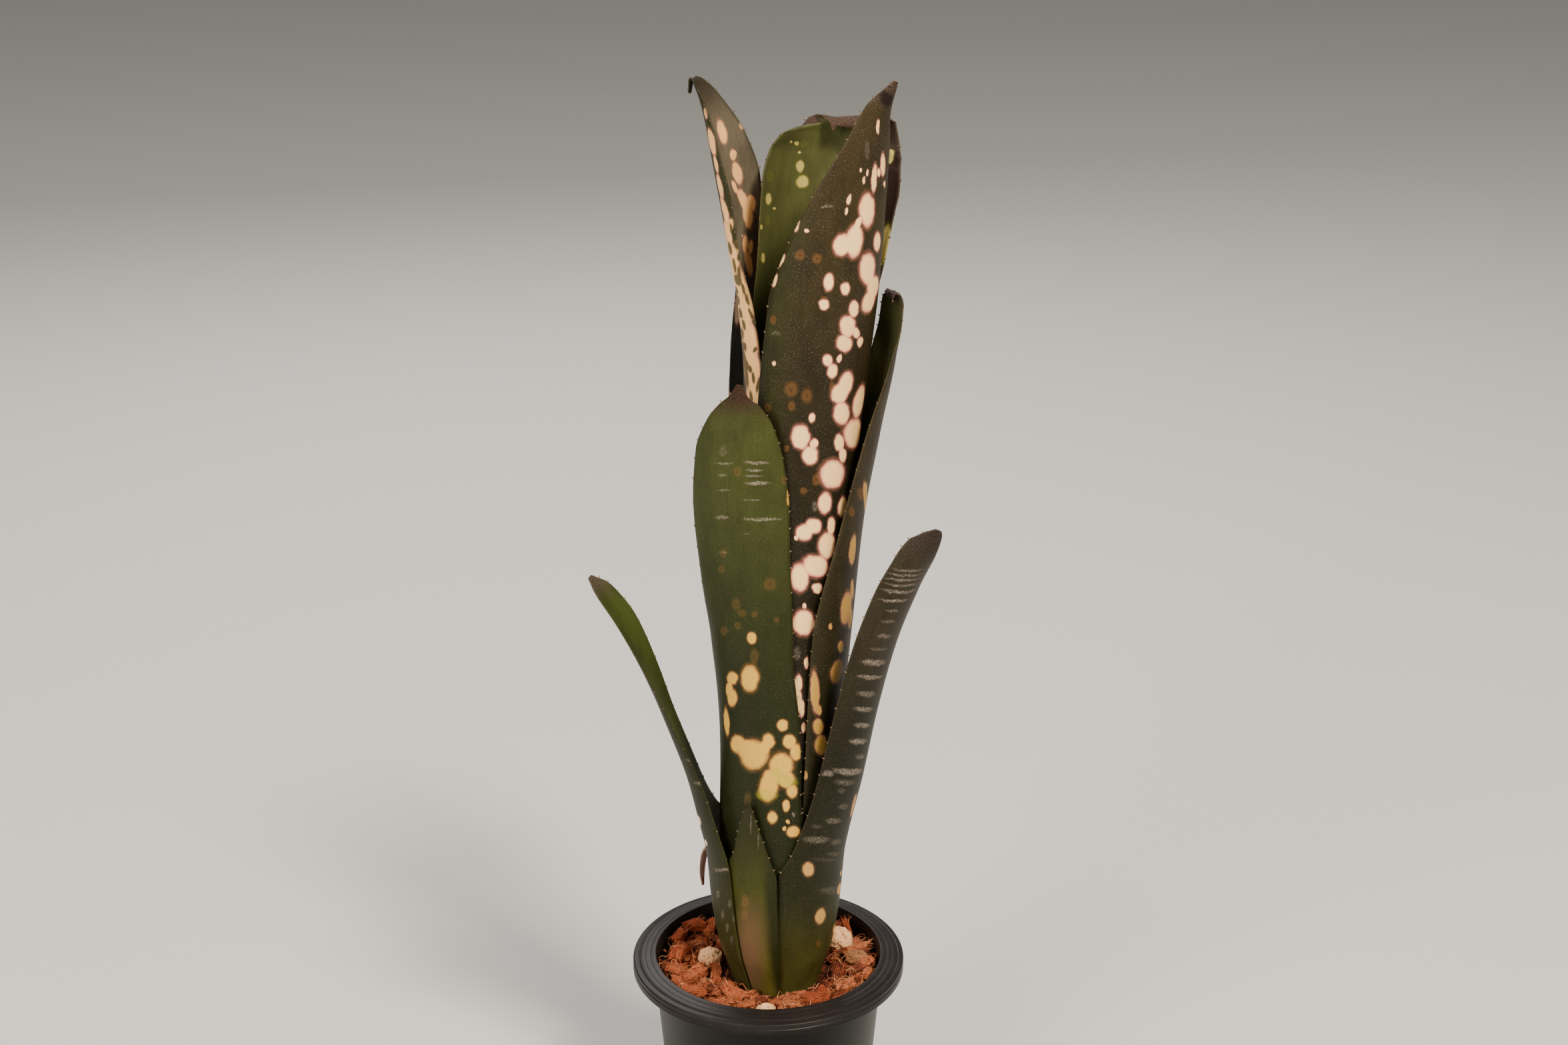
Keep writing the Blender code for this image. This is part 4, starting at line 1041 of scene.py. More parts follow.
leafTallLeft = {
    "piece": "leafTallLeft", "node": "leaf_tall_left", "slot": "leaf_spotted", "seed": 4, "waver": 0.0002,
    "layer": 6, "azimuth": -97, "wrap": (84, 80),
    "blade": [
        (0.18, 0.0188, -97, -97, 0.0188, 0.025, 0.025),
        (0.24, 0.0199, -97, -97, 0.0199, 0.024, 0.024),
        (0.3, 0.0207, -97, -97, 0.0206, 0.023, 0.022),
        (0.335, 0.022, -97, -95, 0.0202, 0.0225, 0.019),
        (0.36, 0.0258, -97, -94, 0.0185, 0.0205, 0.0162),
        (0.385, 0.0318, -97, -102, 0.0155, 0.018, 0.014),
        (0.405, 0.0368, -97, -110, 0.014, 0.0184, 0.016),
        (0.423, 0.0416, -97, -116, 0.012, 0.0142, 0.0136),
        (0.436, 0.0462, -97, -116, 0.009, 0.0082, 0.0088),
        (0.443, 0.05, -97, -116, 0.006, 0.0042, 0.0048),
        (0.4445, 0.0515, -97, -116, 0.004, 0.0022, 0.0022),
        (0.4395, 0.052, -97, -116, 0.003, 0.0008, 0.0008),
    ],
    "colours": {
        "Low": (36, 34, 16), "Middle": (40, 40, 18), "High": (44, 45, 21), "Inner": (100, 90, 73),
        "Shade": (34, 29, 19), "Tip": (52, 43, 34), "Base": (40, 38, 18), "Patch": (44, 46, 18),
        "Cream": (244, 186, 118), "CreamLow": (230, 170, 100), "Blush": (206, 142, 106),
        "Margin": (46, 44, 26),
    },
    "values": {"TipReach": 24, "PatchSoft": 0.25, "MarginShare": 0.7, "MarginWide": 1.3},
    "marks": [
        (1082, 198, 14, 36, -14), (1099, 232, 9, 17, -6), (1105, 259, 14, 34, -14), (1101, 281, 7, 22, -20),
        (1112, 189, 6, 12, -24), (1114, 299, 13, 34, -24), (1121, 322, 14, 42, -6), (1127, 304, 12, 26, -10),
        (1117, 366, 9, 26), (1125, 370, 7, 20), (1122, 394, 11, 40, -10), (1128, 450, 12, 46, -8),
        (1059, 170, 4, 16, -10), (1068, 213, 8, 40, -12), (1075, 246, 5, 26, -12), (1081, 279, 6, 38, -12),
        (1088, 316, 7, 44, -14), (1097, 337, 8, 20), (1093, 352, 9, 44, -12), (1107, 374, 10, 26, -10),
        (1099, 384, 13, 54, -12), (1106, 420, 15, 60, -12), (1118, 430, 9, 40, -20),
        (1113, 462, 20, 62, -14), (1120, 505, 24, 70, -12), (1126, 550, 24, 70, -8), (1131, 590, 24, 70, -4),
        (1134, 640, 24, 90),
    ],
    "patches": [
        (1103, 398, 5, 22, -10), (1110, 412, 5, 29, -6), (1116, 432, 5, 21, -16), (1109, 386, 5, 13),
        (1102, 463, 5, 17, -10), (1106, 477, 5, 26, -16), (1113, 500, 6, 23, -10), (1118, 519, 5, 16, -14),
        (1141, 511, 6, 21, -10), (1127, 470, 5, 18, -24), (1121, 545, 5, 21, -18), (1126, 553, 5, 13, -14),
        (1138, 578, 6, 23, 10), (1100, 350, 5, 34, -16), (1106, 436, 5, 13, -10), (1103, 364, 5, 21, -20),
        (1133, 524, 5, 10, 20), (1101, 420, 5, 18, -10), (1136, 492, 5, 31, -26), (1119, 545, 5, 78, -8),
        (1128, 600, 5, 29, -4), (1136, 622, 5, 34), (1131, 566, 5, 18, -8), (1117, 487, 5, 18, -12),
        (1108, 450, 5, 18, -12), (1122, 449, 5, 21, -14), (1112, 470, 5, 16, -14), (1096, 372, 5, 21, -12),
    ],
    "wild": {"from": -8, "to": 40, "cell": 13, "share": 0.6},
}

leafTallBack = {
    "piece": "leafTallBack", "node": "leaf_tall_back", "slot": "leaf_green", "seed": 6, "waver": 0.0002,
    "layer": 7, "azimuth": 180, "wrap": (104, 98),
    "blade": [
        (0.18, 0.0171, 180, 180, 0.0171, 0.028, 0.028),
        (0.24, 0.0182, 180, 180, 0.0182, 0.0295, 0.0295),
        (0.3, 0.019, 180, 180, 0.019, 0.031, 0.031),
        (0.35, 0.0205, 180, 180, 0.0207, 0.0325, 0.0325),
        (0.38, 0.0227, 174, 180, 0.0235, 0.034, 0.0338),
        (0.404, 0.0246, 173, 180, 0.026, 0.034, 0.0335),
        (0.415, 0.0247, 172, 180, 0.027, 0.0306, 0.0286),
        (0.4225, 0.0238, 170, 180, 0.0265, 0.028, 0.024),
        (0.4268, 0.0222, 169, 180, 0.032, 0.023, 0.0184),
        (0.4286, 0.0206, 170, 180, 0.06, 0.0186, 0.013),
        (0.4284, 0.0192, 171, 180, 0.05, 0.0124, 0.0084),
        (0.4275, 0.0184, 172, 180, 0.03, 0.006, 0.0046),
        (0.4262, 0.018, 173, 180, 0.006, 0.0012, 0.0012),
        (0.4242, 0.018, 173, 180, 0.003, 0.0005, 0.0005),
    ],
    "colours": {
        "Low": (36, 34, 16), "Middle": (40, 40, 18), "High": (54, 44, 35), "Inner": (76, 78, 42),
        "Shade": (50, 40, 28), "Ring": (100, 100, 44), "Core": (62, 62, 28), "Tip": (84, 64, 54),
        "Base": (40, 37, 18), "InnerSide": (44, 29, 25), "Side": (40, 32, 24), "Cream": (186, 166, 92),
        "CreamLow": (176, 160, 80), "Blush": (120, 116, 50), "Margin": (96, 84, 56),
    },
    "values": {"SideFrom": -12, "SideTo": -20, "Scale": 0.2, "MarginShare": 0.3},
    "marks": [
        (1194, 215, 7, 8), (1199, 249, 13, 19), (1203, 272, 20, 20), (1151, 298, 9, 18), (1198, 228, 5, 5),
        (1336, 236, 11, 24, 14), (1141, 340, 5, 8), (1160, 312, 5, 5), (1143, 387, 6, 16), (1186, 212, 4, 5),
    ],
    "rings": [(1205, 215, 12, 10), (1153, 265, 10, 16), (1150, 330, 9, 14), (1158, 425, 10, 18)],
    "wild": {"from": -24, "to": 24, "cell": 14, "share": 0.5},
}

leafDried = {
    "piece": "leafDried", "node": "leaf_dried", "slot": "leaf_dry", "seed": 10, "layer": -1, "azimuth": -142,
    "wrap": (26, 22),
    "blade": [
        (0.1255, 0.0312, -138, -136, 0.02, 0.007, 0.007),
        (0.13, 0.0336, -132, -130, 0.008, 0.0045, 0.0045),
        (0.1315, 0.0358, -127, -124, 0.006, 0.0034, 0.0034),
        (0.1275, 0.0376, -124, -119, 0.006, 0.0028, 0.0028),
        (0.12, 0.038, -123, -118, 0.006, 0.002, 0.002),
        (0.1135, 0.0374, -123, -118, 0.005, 0.0007, 0.0007),
    ],
    # these inks are partly the dry leaf's own pale tan and partly painted light: raised above that tone to
    # offset the shade on this leaf
    "colours": {
        "Low": (112, 80, 64), "Middle": (150, 110, 92), "High": (164, 124, 106), "Inner": (190, 146, 126),
        "Shade": (100, 66, 52), "Tip": (170, 132, 114), "Base": (64, 46, 32),
    },
    "values": {"TipReach": 6, "Mottle": 0.5, "Scale": 0.3, "MarginShare": 0.5},
}

leaves = [
    leafFrontShort, leafLeftLow, leafRightLow, leafFront, leafRight,
    leafBackLeft, leafTallRight, leafTallLeft, leafTallBack, leafDried,
]


# The pot, turned from half its section

potShape = {
    "height": 0.095,
    "rim": 0.055,
    "mouth": 0.0456,
    "foot": 0.0385,
    "wall": 0.0013,
    "floor": 0.002,
    "slope": 0.0018,
    "depth": 0.0066,
    "rimWall": 0.0015,
    "foldIn": 0.0006,
    "grooves": [  # radius, half width, depth
        (0.0482, 0.00022, 0.00005), (0.0503, 0.00022, 0.00004), (0.0527, 0.00040, 0.00022),
    ],
    "step": 0.0017,  # line round the skirt, below the rim's edge
    "stepLine": [(0, 0), (0.0002, 0.0002), (0.0002, 0.0004), (0, 0.0006)],  # how far in and down
    "rounds": [0, 0.0008, 0.0006, 0.0006, 0.0004, 0.0004, 0.0005, 0.0008, 0.0010, 0],  # at each corner
    "drainHoles": 6,
    "drainRadius": 0.0035,
    "drainCircle": 0.027,
    "turns": 160,
}


def turnPiece(profile, turns):
    # the section is drawn by extruding one corner, then spun about Z
    piece = newPiece(bpy.ops.mesh.primitive_plane_add, size=0.001, location=(0, 0, 0))
    bpy.ops.object.mode_set(mode="EDIT")
    bpy.ops.mesh.select_mode(type="VERT")
    bpy.ops.mesh.merge(type="CENTER")
    place = (0.0, 0.0)
    for number, (radius, height) in enumerate(profile):
        step = (radius - place[0], 0, height - place[1])
        if number:
            bpy.ops.mesh.extrude_region_move(TRANSFORM_OT_translate={"value": step})
        else:
            bpy.ops.transform.translate(value=step)
        place = (radius, height)
    bpy.ops.mesh.select_all(action="SELECT")
    bpy.ops.mesh.spin(steps=turns, angle=math.tau, center=(0, 0, 0), axis=(0, 0, 1))
    bpy.ops.mesh.select_all(action="SELECT")
    bpy.ops.mesh.remove_doubles(threshold=0.00001)
    bpy.ops.mesh.normals_make_consistent(inside=False)
    bpy.ops.object.mode_set(mode="OBJECT")
    applyPlace(piece)
    return piece


def rimTop(radius):
    share = (radius - potShape["mouth"]) / (potShape["rim"] - potShape["mouth"])
    return potShape["height"] - potShape["slope"] * share


def rounded(corner, fromPoint, toPoint, radius, steps=4):
    # a short curve in place of a sharp corner
    start = corner + (fromPoint - corner).normalized() * radius
    end = corner + (toPoint - corner).normalized() * radius
    curve = []
    for number in range(steps + 1):
        t = number / steps
        curve.append(tuple(start * (1 - t) ** 2 + corner * 2 * t * (1 - t) + end * t**2))
    return curve


def potProfile():
    p = potShape
    skirt = p["height"] - p["depth"]
    fold = p["rim"] - p["wall"]
    wallOut = p["mouth"] + p["wall"]
    corners = [
        (0, p["floor"]), (p["foot"] - p["wall"], p["floor"]), (p["mouth"], p["height"]),
        (p["rim"], rimTop(p["rim"])), (p["rim"], skirt), (fold, skirt),
        (fold - p["foldIn"], rimTop(fold) - p["rimWall"]), (wallOut, rimTop(wallOut) - p["rimWall"]),
        (p["foot"], 0), (0, 0),
    ]
    corners = [Vector(corner) for corner in corners]
    mouthCorner, lipCorner = 2, 3
    profile = []
    for number, (corner, radius) in enumerate(zip(corners, p["rounds"])):
        if radius:
            profile += rounded(corner, corners[number - 1], corners[number + 1], radius)
        else:
            profile.append(tuple(corner))
        if number == mouthCorner:
            for middle, half, deep in p["grooves"]:
                for off, share in ((-1, 0), (-0.5, 0.75), (0, 1), (0.5, 0.75), (1, 0)):
                    place = middle + off * half
                    profile.append((place, rimTop(place) - deep * share))
        if number == lipCorner:
            top = rimTop(p["rim"]) - p["step"]
            profile += [(p["rim"] - inwards, top - fall) for inwards, fall in p["stepLine"]]
    return profile


def makePotMaterial():
    material, tree, shader = newMaterial("potBlack", roughness=0.45, specular=0.16)
    texture = objectPlace(tree)
    cloud = addNoise(tree, texture, 60.0, 5.0, 0.6)
    dust = addNoise(tree, texture, 900.0, 3.0, 0.7)
    dusty = times(tree, addRange(tree, dust, 0.58, 0.72), addRange(tree, cloud, 0.35, 0.7))
    patchy = addRange(tree, cloud, 0.3, 0.7)
    # painted shade and sheen: below the rim's edge the skirt is inked nearly black as painted shade under
    # the rim, and the rim's top gets a greyer ink that stands in for its sheen
    onRim = addRange(tree, addParts(tree, texture)[2], 0.0880, 0.0925)
    skirt = addMix(tree, patchy, ink(8, 7, 6), ink(13, 11, 10))
    colour = addMix(tree, onRim, skirt, addMix(tree, patchy, ink(26, 22, 20), ink(36, 30, 28)))
    colour = addMix(tree, times(tree, dusty, 0.12), colour, ink(110, 92, 78))
    wire(tree, colour, shader.inputs["Base Color"])
    rings = tree.nodes.new("ShaderNodeTexWave")
    rings.wave_type = "RINGS"
    rings.rings_direction = "Z"
    rings.inputs["Scale"].default_value = 420.0
    rings.inputs["Distortion"].default_value = 0.4
    wire(tree, texture, rings.inputs["Vector"])
    wire(tree, addRange(tree, dusty, 0.0, 1.0, 0.40, 0.75), shader.inputs["Roughness"])
    fine = times(tree, rings.outputs["Fac"], onRim)
    relief = addMath(tree, "MULTIPLY_ADD", fine, 0.6, times(tree, dust, 0.5))
    addBump(tree, shader, relief, 0.00003)
    return material


def buildPot():
    pot = turnPiece(potProfile(), potShape["turns"])
    holes = []
    for number in range(potShape["drainHoles"]):
        x, y = ringPoint(potShape["drainCircle"], math.tau * number / potShape["drainHoles"])
        holes.append(newPiece(
            bpy.ops.mesh.primitive_cylinder_add, vertices=32, radius=potShape["drainRadius"],
            depth=potShape["floor"] * 4, location=(x, y, 0),
        ))
    cutter = joinAll(holes)
    cut = pot.modifiers.new("drain", "BOOLEAN")
    cut.operation = "DIFFERENCE"
    cut.object = cutter
    applyModifiers(pot)
    bpy.data.objects.remove(cutter, do_unlink=True)
    pot.data.shade_smooth()
    pick(pot)
    bpy.ops.object.shade_smooth_by_angle(angle=math.radians(35))
    finishPiece(pot, "pot_moulded", "pot", "pot_plastic", makePotMaterial())
    print("pot done:", len(pot.data.polygons), "faces")


# Pumice and the brown stone

stoneShape = {
    "subdivisions": 5,
    "lumps": [(0.0009, 0.0048, 0), (0.0002, 0.0010, 9)],  # how high, how wide, added to the seed
}

stones = [
    {"piece": "pumiceRight", "node": "pumice_right", "slot": "pumice", "seed": 1,
     "place": (0.0297, 0.0142, 0.0906), "radii": (0.0050, 0.0044, 0.0058)},
    {"piece": "pumiceLeft", "node": "pumice_left", "slot": "pumice", "seed": 2,
     "place": (-0.0238, 0.0056, 0.0878), "radii": (0.0052, 0.0044, 0.0044)},
    {"piece": "pumiceFront", "node": "pumice_front", "slot": "pumice", "seed": 3,
     "place": (-0.0014, -0.0375, 0.0890), "radii": (0.0040, 0.0034, 0.0028)},
    {"piece": "stoneBrown", "node": "stone_brown", "slot": "brown_stone", "seed": 4,
     "place": (0.0361, 0.0019, 0.0896), "radii": (0.0044, 0.0038, 0.0032)},
]


def roughen(mesh, amount, size, seed):
    # pushes every point along its normal by smooth noise of a given size
    shift = Vector((seed * 7.3, seed * 3.1, seed * 5.7))
    points = getPoints(mesh)
    normals = np.empty(len(points) * 3)
    mesh.vertex_normals.foreach_get("vector", normals)
    push = np.array([noise.fractal(Vector(p) / size + shift, 0.9, 2.1, 3) for p in points])
    setPoints(mesh, points + normals.reshape(-1, 3) * (push * amount)[:, None])


def makeStoneMaterial(name, pale, dark, pitted):
    material, tree, shader = newMaterial(name, roughness=0.9, specular=0.2)
    texture = objectPlace(tree)
    cloud = addNoise(tree, texture, 380.0, 5.0, 0.65)
    pits = tree.nodes.new("ShaderNodeTexVoronoi")
    pits.inputs["Scale"].default_value = 800.0
    wire(tree, texture, pits.inputs["Vector"])
    hollow = addRange(tree, pits.outputs["Distance"], 0.36, 0.12)
    spotted = times(tree, hollow, addRange(tree, cloud, 0.45, 0.62))
    colour = addMix(tree, addRange(tree, cloud, 0.40, 0.72), pale, dark)
    colour = addMix(tree, times(tree, spotted, pitted), colour, ink(92, 54, 34))
    wire(tree, colour, shader.inputs["Base Color"])
    addBump(tree, shader, addMath(tree, "SUBTRACT", cloud, hollow), 0.0004, 0.8)
    return material


def buildStones():
    pumice = makeStoneMaterial("pumiceChalky", ink(238, 184, 132), ink(192, 138, 94), 0.7)
    brown = makeStoneMaterial("stoneBrownDull", ink(142, 94, 60), ink(98, 62, 40), 0.3)
    addBall = bpy.ops.mesh.primitive_ico_sphere_add
    for stone in stones:
        rock = newPiece(
            addBall, subdivisions=stoneShape["subdivisions"], radius=1, location=stone["place"],
        )
        bpy.ops.transform.resize(value=stone["radii"])
        applyPlace(rock)
        for high, wide, more in stoneShape["lumps"]:
            roughen(rock.data, high, wide, stone["seed"] + more)
        rock.data.shade_smooth()
        finish = brown if stone["slot"] == "brown_stone" else pumice
        finishPiece(rock, stone["piece"], stone["node"], stone["slot"], finish)
    print("stones done")


# The potting mix: a dark bed, husk chips packed over it, crumbs and loose fibres

mixShape = {
    "surface": [(0, 0.0833), (0.024, 0.0833), (0.034, 0.0852), (0.0423, 0.0875)],  # radius and height
    "gap": 0.0008,
    "turns": 110,
    "rings": 16,
    "lumps": (0.0008, 0.0042),  # how high and how wide
    "waist": 0.05,  # height of the ring that follows the pot's wall down
    "footLift": 0.0004,  # above the pot's floor
    "edgeDrop": 0.001,  # from the surface's edge down to the side's first ring
    "lumpsAbove": 0.08,
}

chipShape = {
    "kinds": 8,
    "splinters": 9,
    "chips": 270,
    "crumbs": 280,
    "seed": 11,
    "length": (0.0055, 0.0110),
    "width": (0.0034, 0.0066),
    "depth": (0.0026, 0.0050),
    "crumb": [(0.0004, 0.0014), (0.0003, 0.0007), (0.0002, 0.0005)],
    "crumbTilt": 0.5,
    "ceiling": 0.0947,
    "tilt": 0.36,
    "shrink": 0.35,  # how much smaller the topmost chips are, at most
    "sink": 0.0010,  # of the lowest chips into the bed
    "heap": 0.0036,
    "heapSpread": (-0.0008, 0.0008),
    "crowding": 0.45,  # share of a placed chip's length that no wild chip covers
    "under": 0.003,  # below its middle, where one may lie
    "proud": 0.0018,  # of a placed chip's lower side above the bed
    "tries": 400,
    "tryStep": 0.00044,
    "wallGap": 0.0005,
    "plantGap": 0.0004,
    "grainShift": 400,  # mm, the most that a chip's part of the grain is moved
    # the largest chips, as the photograph shows them: x and y in its pixels, length, width and depth in mm,
    # turn from the right towards the back, rise and roll in degrees, share of dark bark, brightness
    # the brightness column is partly painted shade and light: low on chips in the plant's shade at the back
    # left, high on the lit chips at the front right
    "placed": [
        (1040, 1463, 12, 7, 5.5, 25, 10, 10, 0, 0.5), (1000, 1424, 11, 8, 6, 60, 10, 0, 0.4, 0.1),
        (1003, 1456, 9, 6, 4.5, -20, 6, 0, 0, 0.5), (1010, 1479, 9, 5, 4, -50, -5, 0, 0.1, 0.4),
        (1036, 1487, 10, 7, 5, 15, 5, 0, 0.2, 0.3), (1105, 1491, 13, 7, 5, -42, -10, 10, 0, 0.5),
        (1082, 1507, 11, 5, 4, -12, 0, 0, 0, 0.5), (1118, 1509, 7, 5, 4, 10, 0, 0, 0, 0.6),
        (1138, 1504, 7, 4.5, 4, 20, 5, 0, 0.7, 0.3), (1183, 1510, 10, 5, 4, 5, 2, 0, 0, 1),
        (1182, 1486, 13, 6, 2.8, 15, 8, 0, 0, 0.8), (1224, 1499, 11, 6, 4, 12, 0, 0, 0.3, 0.2),
        (1246, 1464, 12, 6.6, 2.4, 80, 48, 0, 1, 0.2), (1268, 1477, 9.5, 6, 4, 18, 6, 0, 0, 0.9),
        (1288, 1421, 12, 4, 3, 12, 8, 0, 0, 0.9), (1303, 1435, 7, 6, 4, 40, 0, 0, 0, 0.6),
        (1275, 1389, 9, 4, 3, 100, 40, 0, 0.4, 0.2), (1258, 1389, 6, 5, 4, 10, 10, 0, 0.7, 0.1),
        (1042, 1388, 9, 7, 5, 30, 0, 0, 0.3, 0.1), (1067, 1392, 8, 5, 4, 80, 25, 0, 0.2, 0.3),
        (1072, 1458, 9, 5, 4, 100, 20, 0, 0.2, 0.4), (1078, 1485, 8, 6, 4, -20, 0, 0, 0.8, 0.3),
        (1304, 1461, 6, 4, 3, 45, 0, 0, 0.1, 0.5), (1282, 1456, 7, 5, 4, 20, 0, 0, 0.8, 0.3),
        (1014, 1403, 8, 6, 5, 40, 10, 0, 0.3, 0.1), (1160, 1510, 7, 4, 4, 30, 0, 0, 0.3, 0.4),
    ],
}

fibreShape = {
    "loose": 110,
    "frayed": 6,  # hairs at the ends of each chip
    "frayedAbove": 0.0865,
    "frayedLength": (0.0012, 0.0034),
    "sag": 0.00013,  # more at each step along a frayed hair
    "looseRadius": (0.024, 0.043),
    "looseLength": (0.006, 0.016),
    "arch": (0.0003, 0.0030),
    "curl": (-0.5, 0.5),
    "radius": 0.00010,
    "clear": 0.0006,  # of the wall and of the plant
    "seed": 21,
    "placedLift": 0.003,
    "nearer": 0.0006,
    # hairs that the photograph shows: how thick, and their course in its pixels
    "placed": [
        (1.5, [(1096, 1475), (1104, 1475), (1113, 1478), (1119, 1484), (1123, 1492), (1123, 1500)]),
        (3.2, [(1092, 1455), (1091, 1466), (1090, 1478), (1086, 1490), (1077, 1500)]),
        (2.2, [(1089, 1459), (1089, 1470), (1086, 1482), (1079, 1492), (1068, 1500)]),
        (1.5, [(1200, 1475), (1210, 1477), (1219, 1481), (1226, 1487), (1230, 1496)]),
        (1.6, [(1258, 1446), (1264, 1437), (1272, 1430), (1281, 1424)]),
        (1.4, [(1318, 1435), (1311, 1431), (1303, 1431)]),
        (1.3, [(1006, 1424), (1014, 1428), (1024, 1426), (1036, 1417)]),
        (1.8, [(1176, 1472), (1178, 1480), (1186, 1486), (1198, 1490)]),
        (1.6, [(1203, 1465), (1202, 1476), (1198, 1486)]),
        (2.0, [(1278, 1420), (1292, 1417), (1304, 1412), (1312, 1408)]),
        (1.5, [(1303, 1407), (1307, 1417), (1306, 1430)]),
        (1.4, [(990, 1400), (994, 1410), (993, 1420)]),
        (1.4, [(1062, 1470), (1068, 1478), (1072, 1488)]),
    ],
}


def potInside(height):
    foot = potShape["foot"] - potShape["wall"]
    share = (height - potShape["floor"]) / (potShape["height"] - potShape["floor"])
    return foot + (potShape["mouth"] - foot) * share


def bedHeight(radius):
    return float(np.interp(radius, *zip(*mixShape["surface"])))


def onBed(x, y, lift):
    # where the line of sight through a pixel meets the bed, lifted by so much
    eye, ray = Vector(photoView["eye"]), photoRay(x, y)
    place = Vector((0, 0, 0.086))
    for _ in range(6):
        height = bedHeight(place.xy.length) + lift
        place = eye + ray * ((height - eye.z) / ray.z)
    return place


def modelChip(kind):
    # a torn block of husk, 1 long, whose grain runs along X, with splinters at its ragged ends
    chip = newPiece(bpy.ops.mesh.primitive_cube_add, size=1)
    bpy.ops.object.mode_set(mode="EDIT")
    bpy.ops.mesh.select_all(action="SELECT")
    bpy.ops.mesh.subdivide(number_cuts=2)
    bpy.ops.object.mode_set(mode="OBJECT")
    rng = random.Random(100 + kind)
    points = getPoints(chip.data)
    taper = within(rng, (0.6, 0.95), (0.6, 0.95))
    for point in points:
        share = point[0] + 0.5
        rounding = 1 - 0.18 * (abs(point[1]) > 0.4) * (abs(point[2]) > 0.4)
        point[1:] *= rounding * (taper[0] + (taper[1] - taper[0]) * share)
        point[1] += 0.16 * math.sin(2.6 * point[0] + kind)
        if abs(point[0]) > 0.45:
            point[0] += rng.uniform(-0.2, 0.06) * math.copysign(1, point[0])
        point[1:] += within(rng, (-0.09, 0.09), (-0.11, 0.11))
    setPoints(chip.data, points)
    splinters = []
    for _ in range(chipShape["splinters"]):
        side = rng.choice((-1, 1))
        long, y, z, roll, pitch, yaw = within(
            rng, (0.25, 0.6), (-0.36, 0.36), (-0.3, 0.42), (-0.3, 0.3), (-0.1, 0.35), (-0.25, 0.25)
        )
        splinter = newPiece(
            bpy.ops.mesh.primitive_cone_add, vertices=3, radius1=rng.uniform(0.04, 0.09), depth=long,
            end_fill_type="NOTHING", location=(side * 0.42, y, z),
            rotation=(roll, side * (math.pi / 2 - pitch), yaw),
        )
        applyPlace(splinter)
        splinters.append(splinter)
    return joinAll([chip] + splinters)


def fromPlant(place):
    # how far a place is from the plant's axis, and which way
    return place.xy - Vector((plant["axisX"], 0))


def chipFits(place, turned, size):
    for x, y, z in itertools.product((-0.5, 0, 0.5), (-0.42, 0.42), (-0.5, 0.5)):
        corner = place + turned @ Vector((x * size.x, y * size.y, z * size.z))
        if corner.xy.length > potInside(corner.z) - chipShape["wallGap"] or corner.z > chipShape["ceiling"]:
            return False
        if fromPlant(corner).length < bundleRadius(corner.z, 0) + chipShape["plantGap"]:
            return False
    for stone in stones:
        reach = [radius + size.z * 0.5 for radius in stone["radii"]]
        if Vector([(place[i] - stone["place"][i]) / reach[i] for i in range(3)]).length < 1:
            return False
    return True


def placedChips():
    # a chip that would cross the wall or the plant is moved to the nearest clear place
    found = []
    for x, y, long, wide, deep, turn, rise, roll, bark, bright in chipShape["placed"]:
        size = Vector((long, wide, deep)) / 1000
        wanted = onBed(x, y, size.z * 0.5 + chipShape["proud"])
        turned = Euler((math.radians(roll), -math.radians(rise), math.radians(turn))).to_matrix()
        for step in range(chipShape["tries"]):
            reach = chipShape["tryStep"] * math.sqrt(step)
            place = wanted + Vector((*ringPoint(1, step * 2.4), 0)) * reach - Vector((0, 0, reach * 0.25))
            if chipFits(place, turned, size):
                break
        else:
            place = wanted - Vector((0, 0, chipShape["under"]))
        found.append((place, turned, size, (bark, bright, 1.0)))
    return found


def tossed(rng, tilt):
    # lies at any turn, tilted by so much on average
    return Euler((rng.gauss(0, tilt), rng.gauss(0, tilt), rng.uniform(0, math.tau))).to_matrix()


def wildChip(rng, share, placed):
    for _ in range(500):
        radius = potShape["mouth"] * math.sqrt(rng.uniform(0.12, 1.0))
        turn = rng.uniform(0, math.tau)
        shrink = 1 - chipShape["shrink"] * share * rng.random()
        size = Vector(within(rng, chipShape["length"], chipShape["width"], chipShape["depth"])) * shrink
        height = bedHeight(radius) - chipShape["sink"] + chipShape["heap"] * share
        place = Vector((*ringPoint(radius, turn), height + rng.uniform(*chipShape["heapSpread"])))
        near = [p for p, _, s, _ in placed if (p - place).xy.length < s.x * chipShape["crowding"]]
        crowded = [p for p in near if place.z > p.z - chipShape["under"]]
        turned = tossed(rng, chipShape["tilt"])
        if not crowded and chipFits(place, turned, size):
            return place, turned, size, (rng.random() ** 1.6, rng.random(), share)
    return None


def addTinted(name, piece, local, turned, place, shift, tint):
    # a copy of a chip or a crumb, with its own tint and its own part of the grain
    copy = addCopy(name, piece, local @ np.array(turned).T + np.array(place))
    setVectors(copy.data, "grainPlace", local * 1000 + shift)
    setVectors(copy.data, "chipTint", np.tile(tint, (len(local), 1)))
    return copy


